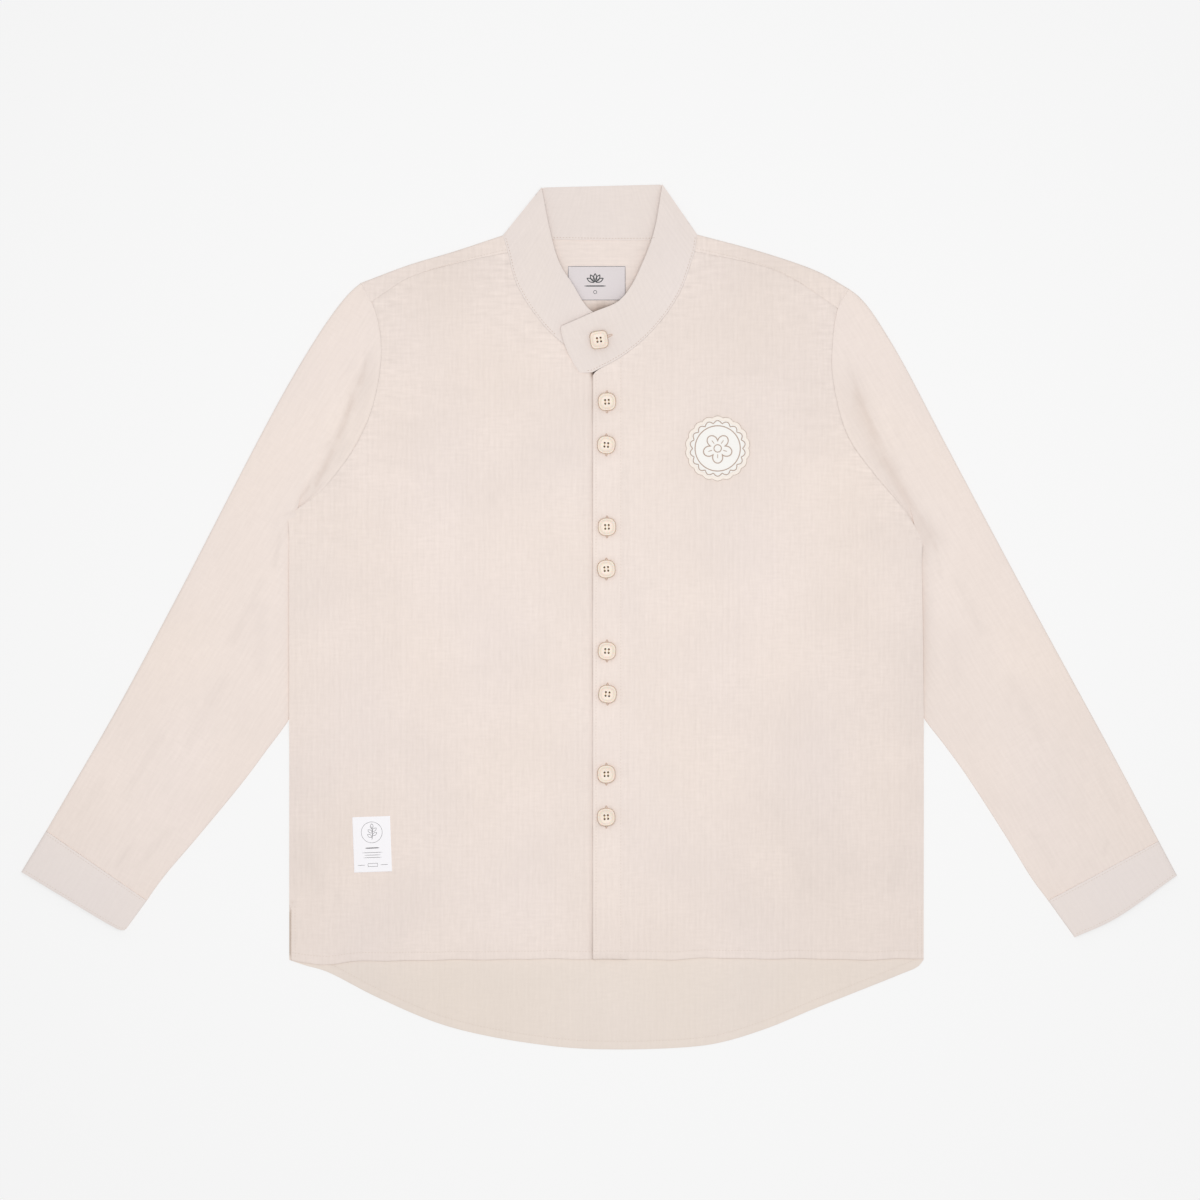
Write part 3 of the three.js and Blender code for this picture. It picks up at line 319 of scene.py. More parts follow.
class Edge:
    """A smooth line through a table's rows, where at(s) takes a share of the whole length.

    Between rows b and c it is the cubic with end slopes (b−a)/p − (c−a)/(p+q) + (c−b)/q and
    (c−b)/q − (d−b)/(q+r) + (d−c)/r, times q, with p, q and r the square roots of the three gaps.
    """

    def __init__(self, rows, parts=60):
        knots = np.array(rows, float)
        knots = np.vstack([2 * knots[0] - knots[1], knots, 2 * knots[-1] - knots[-2]])
        gap = np.sqrt(distance(knots[1:], knots[:-1]))[:, None]
        a, b, c, d = knots[:-3], knots[1:-2], knots[2:-1], knots[3:]
        p, q, r = gap[:-2], gap[1:-1], gap[2:]
        leave = ((b - a) / p - (c - a) / (p + q) + (c - b) / q) * q
        reach = ((c - b) / q - (d - b) / (q + r) + (d - c) / r) * q
        w = np.linspace(0, 1, parts, endpoint=False)[:, None, None]
        line = b + leave * w + (3 * (c - b) - 2 * leave - reach) * w**2 + (2 * (b - c) + leave + reach) * w**3
        self.points = np.vstack([line.transpose(1, 0, 2).reshape(-1, 2), knots[-2]])
        run = run_along(self.points)
        self.length = run[-1]
        self.shares = run / run[-1]

    def at(self, share):
        share = np.asarray(share, float)
        return np.stack([np.interp(share, self.shares, self.points[:, k]) for k in (0, 1)], axis=-1)

    def direction(self, share):
        """Unit vector from just before the share to just after it."""
        share = np.asarray(share, float)
        step = self.at(np.minimum(share + 0.004, 1)) - self.at(np.maximum(share - 0.004, 0))
        return step / np.linalg.norm(step, axis=-1, keepdims=True)


HEM_LINE = Edge(HEM_WAVES)
for half in (RIGHT, LEFT):
    half.update({key: Edge(rows) for key, rows in half.items() if key != "outward"})
    half["underarm"] = float(half["armhole"].at(0.0)[1])


def filled(bottom, top, first, last):
    """The sheet f(u, v) = (1−v)·bottom(u) + v·top(u) + (1−u)·first(v) + u·last(v), less the bilinear
    mean of its four corners."""

    def at(u, v):
        u, v = np.broadcast_arrays(np.asarray(u, float), np.asarray(v, float))
        s, w = u[..., None], v[..., None]
        edges = (1 - w) * bottom(u) + w * top(u) + (1 - s) * first(v) + s * last(v)
        low = (1 - s) * bottom(np.zeros_like(u)) + s * bottom(np.ones_like(u))
        high = (1 - s) * top(np.zeros_like(u)) + s * top(np.ones_like(u))
        return edges - (1 - w) * low - w * high

    return at


def joined(lower, upper, meet):
    """One edge made of two stretches that meet at a share."""

    def at(v):
        v = np.asarray(v, float)
        below = lower(np.clip(v / meet, 0, 1))
        above = upper(np.clip((v - meet) / (1 - meet), 0, 1))
        return np.where((v <= meet)[..., None], below, above)

    return at


def places(length, step, fine_start=True, fine_end=True, first=0.5):
    """Shares of a length: steps that start at first and grow by a third at each fine end, and are even
    between."""
    growth = 1.35
    count = max(int(math.log(step / first) / math.log(growth)), 1)
    ramp = np.concatenate([[0], np.cumsum(first * growth ** np.arange(count))])
    start = ramp if fine_start else np.zeros(1)
    end = ramp if fine_end else np.zeros(1)
    middle = length - start[-1] - end[-1]
    parts = max(round(middle / step), 1)
    inner = start[-1] + middle * np.arange(1, parts) / parts
    return np.concatenate([start, inner, length - end[::-1]]) / length


# How high the cloth lies


def beside(ends, x, y):
    """How far places lie along and beside the line from x0, y0 to x1, y1, and its length."""
    x0, y0, x1, y1 = ends
    run = np.array([x1 - x0, y1 - y0])
    length = np.hypot(*run)
    along = ((x - x0) * run[0] + (y - y0) * run[1]) / length
    return along, ((x - x0) * run[1] - (y - y0) * run[0]) / length, length


def troughs(table, x, y):
    """Sum of depth·exp(−(aside/width)²), each faded in and out over one width at its ends."""
    total = np.zeros(np.broadcast(x, y).shape)
    for *ends, width, depth in table:
        along, aside, length = beside(ends, x, y)
        fade = smooth(along, -width, width) * smooth(length - along, -width, width)
        total += depth * fade * bell(aside, width)
    return total


def ripples(x, y, size, seed, stretch=1.0):
    """Sum of eight sine waves about one size long, in directions and phases drawn from a seed, scaled to
    about ±1. stretch lengthens them along y."""
    draw = np.random.default_rng(seed)
    total = np.zeros(np.broadcast(x, y).shape)
    for _ in range(8):
        turn, phase, scale = draw.uniform(0, np.pi), draw.uniform(0, 2 * np.pi), draw.uniform(0.7, 1.5)
        wave = 2 * np.pi / (size * scale)
        total += np.sin(wave * (x * np.cos(turn) + y * np.sin(turn) / stretch) + phase)
    return total / 4


def shade(x, y):
    """Sum of amount·exp(−(distance/reach)²): the broad painted light and shade at a place."""
    total = np.zeros(np.broadcast(x, y).shape)
    for x0, y0, reach, amount in BROAD_PAINTED_SHADES:
        total += amount * np.exp(-((x - x0) ** 2 + (y - y0) ** 2) / reach**2)
    return total


def underarm_of(x):
    """Height of the underarm on the side where x lies."""
    return np.where(x < 0, RIGHT["underarm"], LEFT["underarm"])


def tuck(x, y):
    """How far the body's side rides up over the sleeve that is tucked under it."""
    below = underarm_of(x) - y
    along = (0.62 * smooth(below, -1, 9) + 0.38 * smooth(below, 5, 60)) * smooth(y, 192, 221)
    return TUCK_LIFT * along * gone(HALF_CHEST - np.abs(x), *TUCK)


def front_top(x, y):
    """Upper side of a front: on the back, with a puff that the side, shoulder and hem press down."""
    across = np.abs(x)
    side = 1 - np.exp(-np.maximum(HALF_CHEST - across, 0) / 22)
    in_sleeve = smooth(y - underarm_of(x), -20, 60)
    shoulder = SHOULDER_TOP - SHOULDER_SLOPE * np.maximum(across - SHOULDER_START, 0)
    rolls = (side + (1 - side) * in_sleeve) * (1 - 0.73 * np.exp(-np.maximum(shoulder - y, 0) / 30))
    rolls = rolls * (1 - 0.7 * gone(y, 0, 130))
    return tuck(x, y) + 2.7 + (2.6 - troughs(FRONT_FOLDS, x, y)) * rolls


def lap(x):
    """How far the left front is lifted by the right one under it."""
    return LAP_LIFT * gone(x, *LAP)


def puckers(aside, along, pitch, reach, seed):
    """Small ridges square to a seam: exp(−aside/reach)·(sin of along/pitch, its place shifted by slower
    sines drawn from a seed)."""
    draw = np.random.default_rng(seed)
    a, b, c = draw.uniform(0, 2 * np.pi, 3)
    shift = 0.8 * np.sin(along / pitch * 0.71 + a) + 0.6 * np.sin(along / pitch * 1.37 + b)
    swell = 0.6 + 0.4 * np.sin(along / pitch * 0.53 + c)
    return fall(aside, reach) * swell * np.sin(2 * np.pi * along / pitch + shift)


def groove(aside, depth=0.14, width=1.1):
    """The dip along a seam or a stitch row, or with a negative depth the ridge beside it."""
    return depth * bell(aside, width)


def hollow(table, x, y):
    """How deep the wide troughs beside the armholes are. Across, a trough falls over its wall and rises
    again as exp(−(aside/floor)²); its line bows by 4·bow·t·(1−t) and it fades at both ends."""
    total = np.zeros(np.broadcast(x, y).shape)
    for *ends, facing, wall, floor, bow, depth in table:
        along, aside, length = beside(ends, x, y)
        share = np.clip(along / length, 0, 1)
        aside = facing * aside - 4 * bow * share * (1 - share)
        fade = smooth(along, -25, 30) * smooth(length - along, -12, 14)
        total += depth * fade * smooth(aside, -wall, 0) * np.exp(-((np.maximum(aside, 0) / floor) ** 2))
    return total


# Meshes


def to_frame(points):
    """Garment millimetres to frame metres."""
    low = np.array(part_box("front_left")[0])
    origin = np.array([low[0] - OVER_EDGE / MM_IN_METRE, low[1], 0.0])
    return np.asarray(points, float) / MM_IN_METRE + origin


def new_mesh(name, points, faces, uv=None, marks=None):
    """A mesh from arrays of points and of faces with one number of corners, its unused points left out.
    Each of its marks is a value at every point, which a material reads."""
    faces = np.asarray(faces, int)
    used, flat = np.unique(faces, return_inverse=True)
    flat = flat.ravel()
    mesh = bpy.data.meshes.new(name)
    mesh.vertices.add(len(used))
    mesh.vertices.foreach_set("co", points[used].astype(np.float32).ravel())
    mesh.loops.add(len(flat))
    mesh.loops.foreach_set("vertex_index", flat.astype(np.int32))
    mesh.polygons.add(len(faces))
    mesh.polygons.foreach_set("loop_start", (np.arange(len(faces)) * faces.shape[1]).astype(np.int32))
    mesh.update(calc_edges=True)
    mesh.validate()
    if uv is not None:
        layer = mesh.uv_layers.new(name="cloth_metres")
        layer.data.foreach_set("uv", uv[used][flat].astype(np.float32).ravel())
    for key, value in (marks or {}).items():
        layer = mesh.attributes.new(key, "FLOAT", "POINT")
        layer.data.foreach_set("value", value[used].astype(np.float32))
    mesh.shade_smooth()
    mesh.set_sharp_from_angle(angle=math.radians(SMOOTH_ANGLE))
    return mesh


def outward(points, faces):
    """The same faces, turned so that the volume they hold is positive."""
    a, b, c = points[faces[:, 0]], points[faces[:, 1]], points[faces[:, 2]]
    volume = (a * np.cross(b, c)).sum()
    if faces.shape[1] == 4:
        volume += (a * np.cross(c, points[faces[:, 3]])).sum()
    return faces if volume > 0 else faces[:, ::-1]


def shell(name, face, lining, uv, keep=None, loop=False, tone=0.0, crinkled=0.0):
    """A closed wall between two grids of points. Quads join neighbours on the face, the same quads turned
    over join them on the lining, and strips close each edge between a kept cell and none."""
    rows, columns = face.shape[:2]
    number = np.arange(rows * columns).reshape(rows, columns)
    after = np.roll(number, -1, axis=1)
    across = columns if loop else columns - 1
    a, b = number[:-1, :across], after[:-1, :across]
    d, c = number[1:, :across], after[1:, :across]
    keep = np.ones((rows - 1, across), bool) if keep is None else keep
    before = np.roll(keep, 1, axis=1)
    behind = np.roll(keep, -1, axis=1)
    if not loop:
        before[:, 0] = False
        behind[:, -1] = False
    below = np.vstack([np.zeros((1, across), bool), keep[:-1]])
    above = np.vstack([keep[1:], np.zeros((1, across), bool)])
    inside = rows * columns
    strips = [
        (keep, (a, b, c, d)),
        (keep, (d + inside, c + inside, b + inside, a + inside)),
        (keep & ~below, (a + inside, b + inside, b, a)),
        (keep & ~above, (d, c, c + inside, d + inside)),
        (keep & ~before, (a, d, d + inside, a + inside)),
        (keep & ~behind, (b + inside, c + inside, c, b)),
    ]
    faces = np.vstack([np.stack(corners, axis=-1)[where] for where, corners in strips])
    points = to_frame(np.vstack([face.reshape(-1, 3), lining.reshape(-1, 3)]))
    both = np.vstack([uv.reshape(-1, 2)] * 2) / MM_IN_METRE
    # tone: painted light and shade on the cloth, with some of its own tone
    marks = {"tone": tone, "crinkled": crinkled}
    marks = {key: np.tile((value + np.zeros((rows, columns))).ravel(), 2) for key, value in marks.items()}
    return new_mesh(name, points, outward(points, faces), both, marks)


def level(plan, z):
    """Points of a plan at a height."""
    return np.concatenate([plan, np.broadcast_to(z, plan.shape[:-1])[..., None]], axis=-1)


def wear(name, mesh, material, node=None):
    """Makes the object, rides it on the body, and hides the part it stands for."""
    obj = bpy.data.objects.new(name, mesh)
    bpy.context.scene.collection.objects.link(obj)
    mesh.materials.append(material)
    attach(obj, "root")
    if node:
        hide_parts(node)
    return obj


def piece(name):
    """A piece that an operator made before."""
    found = bpy.data.objects.get(name)
    if found is None:
        raise RuntimeError(f"{name} is made first")
    return found


def seats(name, plan):
    """Height in millimetres of a piece's upper side at each place of a plan, and 0 where it isn't met."""
    spots = to_frame(level(plan, np.zeros(plan.shape[:-1]))).reshape(-1, 3)
    tree = BVHTree.FromObject(piece(name), bpy.context.evaluated_depsgraph_get())
    hits = [tree.ray_cast((x, y, RAY_START), (0, 0, -1))[0] for x, y, _ in spots]
    heights = np.array([hit.z * MM_IN_METRE if hit else 0.0 for hit in hits])
    return np.maximum(heights, 0).reshape(plan.shape[:-1])


def repeated(shape_points, shape_faces, centres, along):
    """Copies of one small closed shape: centre + x·along + y·(along turned left) + z·up for each point."""
    aside = np.stack([-along[:, 1], along[:, 0], np.zeros(len(along))], axis=-1)
    aside /= np.linalg.norm(aside, axis=-1, keepdims=True)
    up = np.cross(along, aside)
    points = centres[:, None] + shape_points[None, :, :1] * along[:, None]
    points = points + shape_points[None, :, 1:2] * aside[:, None] + shape_points[None, :, 2:] * up[:, None]
    offsets = np.arange(len(centres))[:, None, None] * len(shape_points)
    return points.reshape(-1, 3), (shape_faces[None] + offsets).reshape(-1, shape_faces.shape[1])


def full_turn(parts):
    """Even angles of one whole turn, without its end."""
    return 2 * np.pi * np.arange(parts) / parts


def ring_quads(rings, sides, closed=False):
    """Quads between neighbouring rings of points, and from the last ring to the first if closed."""
    ring, k = np.meshgrid(np.arange(rings if closed else rings - 1), np.arange(sides), indexing="ij")
    n, up = (k + 1) % sides, (ring + 1) % rings
    return np.stack([ring * sides + k, ring * sides + n, up * sides + n, up * sides + k], -1).reshape(-1, 4)


def stitch_shape(sides=6, dive=0.28):
    """One stitch: five rings along a flat arc, thinner at its two ends, where it dives into the cloth."""
    share = np.array([-1, -0.7, 0, 0.7, 1.0])
    girth = STITCH_RADIUS * np.array([0.15, 0.8, 1, 0.8, 0.15])[:, None]
    turn = full_turn(sides)
    x = np.broadcast_to((share * STITCH_LENGTH / 2)[:, None], (len(share), sides))
    z = girth * np.sin(turn) - dive * share[:, None] ** 2
    points = np.stack([x, girth * np.cos(turn), z], axis=-1).reshape(-1, 3)
    return points, ring_quads(len(share), sides)


def run_stitches(lines):
    """Stitches one pitch apart along lines of points, as points and faces."""
    centres, along = [], []
    for line in lines:
        run = run_along(line)
        count = max(int(run[-1] / STITCH_PITCH), 1)
        middle = (np.arange(count) + 0.5) * run[-1] / count
        ends = (middle - 1, middle + 1)
        spots = [np.stack([np.interp(end, run, line[:, k]) for k in range(3)], -1) for end in ends]
        centres.append((spots[0] + spots[1]) / 2)
        step = spots[1] - spots[0]
        along.append(step / np.linalg.norm(step, axis=-1, keepdims=True))
    base, faces = stitch_shape()
    return repeated(base, faces, np.vstack(centres), np.vstack(along))


def cord(line, wide, high, sides=8, closed=False):
    """A rounded cord along a line of points: each ring is an ellipse square to the line."""
    ahead = np.roll(line, -1, axis=0) - np.roll(line, 1, axis=0)
    if not closed:
        ahead[0], ahead[-1] = line[1] - line[0], line[-1] - line[-2]
    ahead[:, 2] = 0
    ahead /= np.maximum(np.linalg.norm(ahead, axis=-1, keepdims=True), 1e-9)
    aside = np.stack([-ahead[:, 1], ahead[:, 0], np.zeros(len(line))], -1)
    turn = full_turn(sides)
    thin = np.ones(len(line))
    if not closed:
        thin[[0, -1]] = 0.25
    points = line[:, None] + (wide / 2 * np.cos(turn))[None, :, None] * aside[:, None] * thin[:, None, None]
    points[:, :, 2] += high * np.sin(turn) * thin[:, None]
    return points.reshape(-1, 3), ring_quads(len(line), sides, closed)


def gathered(parts):
    """Several sets of points and faces as one."""
    starts = np.cumsum([0] + [len(points) for points, _ in parts[:-1]])
    faces = [faces + start for (_, faces), start in zip(parts, starts)]
    return np.vstack([points for points, _ in parts]), np.vstack(faces)


def sew(name, parts, material, colour):
    """One piece of thread, made of several sets of points and faces in garment millimetres."""
    points, faces = gathered(parts)
    wear(name, new_mesh(name, to_frame(points), faces), thread(material, tuple(colour)))


# The body


def front_plan(half, edge):
    """A front's plan: hem, yoke seam, centre edge with neck seam, and side with armhole."""
    rows = SIDE_ROWS + FRONT_ROWS
    side_foot, neck_end = half["side"].at(0.0), half["neck"].at(1.0)
    foot = np.array([edge, 0.0])
    centre = joined(
        lambda q: mix(foot, neck_end, q),
        lambda q: half["neck"].at(1 - q),
        (rows - NECK_ROWS) / rows,
    )
    side = joined(half["side"].at, lambda q: half["armhole"].at(q * YOKE_SHARE), SIDE_ROWS / rows)
    plan = filled(lambda u: mix(foot, side_foot, u), lambda u: half["yoke_seam"].at(1 - u), centre, side)

    def at(u, v):
        points = plan(u, v)
        points[..., 1] -= SEAM * np.broadcast_to(v, points.shape[:-1])
        return points

    return at


def hem_wave(x, y):
    """How far the front hem hangs above or below its straight line, gone 40 mm above it."""
    wave = np.interp(x, HEM_LINE.points[:, 0], HEM_LINE.points[:, 1])
    wave = wave + 0.25 * np.sin(x / 7.1 + 2.0) + 0.2 * np.sin(x / 12.7)
    return wave * gone(y, 0, 40)


def front_pucker(seam, aside, along):
    """A front's small ridges beside one of its seams."""
    strength, pitch, reach, seed = FRONT_PUCKERS[seam]
    return strength * puckers(aside, along, pitch, reach, seed)


def front_surface(half, edge, over, cloth):
    """A front's upper and under side at (u, v). Its height is the pressed puff, less its creases, puckers
    and seam grooves. Towards each free edge it rolls down to what it lies on."""
    plan = front_plan(half, edge)
    rows = SIDE_ROWS + FRONT_ROWS
    side_end, neck_start = SIDE_ROWS / rows, (rows - NECK_ROWS) / rows

    def at(u, v):
        u, v = np.broadcast_arrays(np.asarray(u, float), np.asarray(v, float))
        spot = plan(u, v)
        x, y = across_up(spot)
        to_centre = distance(spot, plan(np.zeros_like(u), v))
        to_side = distance(spot, plan(np.ones_like(u), v))
        to_hem = distance(spot, plan(u, np.zeros_like(v)))
        to_yoke = distance(spot, plan(u, np.ones_like(v)))
        in_side, in_edge = v < side_end, v < neck_start
        along_armhole = (v - side_end) / (1 - side_end) * half["armhole"].length * YOKE_SHARE
        along_neck = (v - neck_start) / (1 - neck_start) * half["neck"].length

        doubled = gone(to_hem, HEM - 0.8, HEM + 0.4) * 0.25
        in_slit = 1 - smooth(y, SLIT - 6, SLIT + 2)
        slit = in_slit * gone(to_side, HEM - 2.2, HEM - 1) * 0.2
        stand = gone(x - edge, STAND_WIDTH - 0.6, STAND_WIDTH + 0.6) * 0.5 if over else 0 * x
        thick = cloth + np.maximum(np.maximum(doubled, slit), stand)

        full = front_top(x, y) + (lap(x) + stand if over else 0)
        full = full + 0.35 * ripples(x, y, 95, 3, 1.6) + 0.05 * ripples(x, y, 14, 5, 1.5)
        relief = -troughs(FRONT_CREASES, x, y)
        relief = relief + np.where(in_side, 0, front_pucker("armhole", to_side, along_armhole))
        relief = relief + front_pucker("yoke", to_yoke, x)
        relief = relief + np.where(in_edge, 0, front_pucker("neck", to_centre, along_neck))
        relief = relief + front_pucker("hem", to_hem, x) + in_slit * front_pucker("slit", to_side, y)
        near_seam = np.where(in_side, 0, fall(to_side, 30))
        near_seam = near_seam + np.where(in_edge, 0, fall(to_centre, 26))
        near_seam = near_seam + 0.5 * fall(to_yoke, 18)
        relief = relief + 0.16 * ripples(x, y, 17, 6, 0.5) * near_seam
        full = full + relief

        low = 0.75 + tuck(x, y)
        if over:
            right = np.minimum(front_top(x, y), 0.75 + cloth + 0.4 + to_hem / 3)
            low = low + (right + 0.05 - low) * gone(x, UNDER_EDGE, UNDER_EDGE + 8)
        low = low + thick + 0.05
        roll = 1 - fall(to_hem, 24)
        roll = roll * (1 - smooth(half["underarm"] - y, 0, 30) * np.exp(-(to_side + 0.2) / 6))
        if over:
            roll = roll * np.where(in_edge, 1 - np.exp(-(to_centre + 0.4) / 2.2), 1)
        top = low + (full - low) * roll
        top = top - groove(to_hem - HEM, 0.09, 0.9)
        top = top - np.where(in_side, 0, groove(to_side)) - groove(to_yoke)
        top = top - np.where(in_edge, 0, groove(to_centre))
        top = top + np.where(in_side, 0, groove(to_side - 2.2, 0.12, 1.2))
        # painted light and shade: the broad shading, darker in the creases and paler on the ridges, and dark
        # lines at the hem's edge, the hem's stitch row, the armhole seam and the yoke seam
        tone = shade(x, y) + 0.07 * relief - 0.008 * groove(to_hem - HEM, 1) - 0.07 * fall(to_hem, 0.7)
        tone = tone - np.where(in_side, 0, 0.05 * fall(to_side, 0.8)) - 0.03 * fall(to_yoke, 0.8)
        # painted shade in the right slit: a dark spot at its top and a dark line along the front's edge
        tone = tone - 0.1 * np.exp(-((to_side - 3) / 2) ** 2 - ((y - SLIT - 2) / 1.6) ** 2) * (half is RIGHT)
        tone = tone - 0.12 * in_slit * fall(to_side, 0.9) * (half is RIGHT)
        # painted shade along the side just below the underarm, where the body's edge lies on the sleeve
        side_shade_line = smooth(y, half["underarm"] - 40, half["underarm"] - 12) * np.where(in_side, 1, 0)
        tone = tone - 0.05 * side_shade_line * fall(to_side, 0.9)
        # painted light along the right front's side edge
        side_painted_light = np.where(in_side, 0.035, 0) * (half is RIGHT) * smooth(y, 150, 240)
        tone = tone + side_painted_light * fall(to_side, 1.6)
        if over:
            top = top - np.where(in_edge, groove(to_centre - STAND_ROW, 0.12, 0.8), 0)
            top = top - groove(x - edge - STAND_WIDTH, 0.14, 0.9)
            stand = gone(x - edge, STAND_WIDTH - 1, STAND_WIDTH + 1) * smooth(y, 20, 60)
            # the stand is paler, being two layers; painted light just inside the left front's edge and a
            # painted shadow line along it
            edge_shadow = 0.15 + 0.05 * ripples(0 * y, y, 60, 7)
            tone = tone + 0.02 * stand + np.where(in_edge, 0.02 * groove(to_centre - 2.0, 1), 0)
            tone = tone - np.where(in_edge, edge_shadow * bell(to_centre, 0.8), 0)
            notch = 3.0 * np.exp(-np.maximum(x - edge, 0) / 2.2) * smooth(y, 530, 540)
        else:
            # painted shadow on the right front beside the left front's edge, and in the notch under the
            # collar's tab
            edge_shadow = 1 + 0.5 * ripples(0 * y, y, 60, 7)
            tone = tone - 0.1 * smooth(x, OVER_EDGE - 3.2, OVER_EDGE + 1.2) * edge_shadow
            tone = tone - 0.6 * np.exp(-((x + 9) / 4) ** 2 - ((y - 540) / 4.5) ** 2)
            notch = 0
        cover = 1.3 * np.exp(-(((y - half["underarm"] - 4) / 15) ** 2))
        aside = half["outward"] * (cover - 1.5 * in_slit * (half is RIGHT)) * fall(to_side, 8)
        top = top + 0.25 * cover * fall(to_side, 3)
        spot = np.stack([x + aside, y + hem_wave(x, y) - notch], -1)
        return spot, top, thick, tone, near_seam

    return at


def front_rows(step):
    """Rows that close up at the hem, the underarm, the neck's corner and the yoke seam."""
    rows = SIDE_ROWS + FRONT_ROWS
    stretches = [
        (0, SIDE_ROWS / rows, True, False),
        (SIDE_ROWS / rows, (rows - NECK_ROWS) / rows, False, False),
        ((rows - NECK_ROWS) / rows, 1, False, True),
    ]
    shares = [
        low + (high - low) * places(length, step, start, end)
        for length, (low, high, start, end) in zip(FRONT_LENGTHS, stretches)
    ]
    return np.unique(np.round(np.concatenate(shares), 9))


def front_mesh(name, half, edge, over, cloth, step):
    """A front: its upper and under side on one grid, closer together at the seams and edges."""
    at = front_surface(half, edge, over, cloth)
    width = abs(half["side"].at(0.0)[0] - edge)
    u, v = np.meshgrid(places(width, step), front_rows(step))
    plan, top, thick, tone, near_seam = at(u, v)
    return shell(name, level(plan, top), level(plan, top - thick), plan, tone=tone, crinkled=near_seam)


def back_mesh(name, cloth, step):
    """The back: on the surface, with one cloth's thickness, its tail hem turned up twice."""
    rows = SIDE_ROWS + BACK_ROWS
    width, side, armhole = BACK_LENGTHS
    meet = SIDE_ROWS / rows
    hem = Edge(TAIL_HEM)
    ends = [half["armhole"].at(YOKE_BACK_SHARE) for half in (RIGHT, LEFT)]
    edges = [
        joined(half["side"].at, lambda q, half=half: half["armhole"].at(q * YOKE_BACK_SHARE), meet)
        for half in (RIGHT, LEFT)
    ]
    surface = filled(hem.at, lambda u: mix(ends[0], ends[1], u), *edges)
    along = np.concatenate([
        meet * places(side, step, True, False),
        meet + (1 - meet) * places(armhole, step * 1.6, False, True)[1:],
    ])
    u, v = np.meshgrid(places(width, step), along)
    plan = surface(u, v)
    plan[..., 1] -= SEAM * v
    to_hem = distance(plan, surface(u, np.zeros_like(v)))
    x, y = across_up(plan)
    to_side = distance(plan, surface(np.round(u), v))
    doubled = gone(to_hem, HEM - 0.8, HEM + 0.4) * 0.3
    slit = gone(y, SLIT - 6, SLIT + 2) * gone(to_side, HEM - 2.2, HEM - 1) * 0.2
    low = tuck(x, y)
    top = low + cloth + np.maximum(doubled, slit)
    free = 1 - smooth(y, -14, -2)
    top = top + free * (0.3 + 0.2 * ripples(x, y, 60, 21, 1.3) + 0.07 * puckers(to_hem, x, 6.5, 13, 22))
    top = top + free * (0.05 * ripples(x, y, 13, 23, 1.5) - troughs(TAIL_CREASES, x, y))
    top = top - groove(to_hem - HEM, 0.1, 0.9)
    # painted shade along the hem's stitch row, and painted light on the back along the front's hem
    tone = shade(x, y) - 0.015 * groove(to_hem - HEM, 1) + 0.035 * np.exp(-np.abs(y) / 5)
    in_slit = smooth(y, 0, 6) * gone(y, SLIT - 8, SLIT - 2)
    # painted shadow along the back's edge in the right slit, and a dark line on the tail's edge
    tone = tone - 0.16 * in_slit * bell(to_side, 2.4) * (x < 0)
    tone = tone - 0.05 * free * fall(to_hem, 0.6)
    return shell(name, level(plan, top), level(plan, low), plan, tone=tone)


def turn_fold(place, radius, thick, angle):
    """Cloth turning over itself: at an angle its face is (r − r·cos, r + r·sin), and its lining the same
    with the inner radius about the same centre."""
    inner = radius - thick
    face = level(place(radius - radius * np.cos(angle)), radius + radius * np.sin(angle))
    lining = level(place(radius - inner * np.cos(angle)), radius + inner * np.sin(angle))
    return face, lining


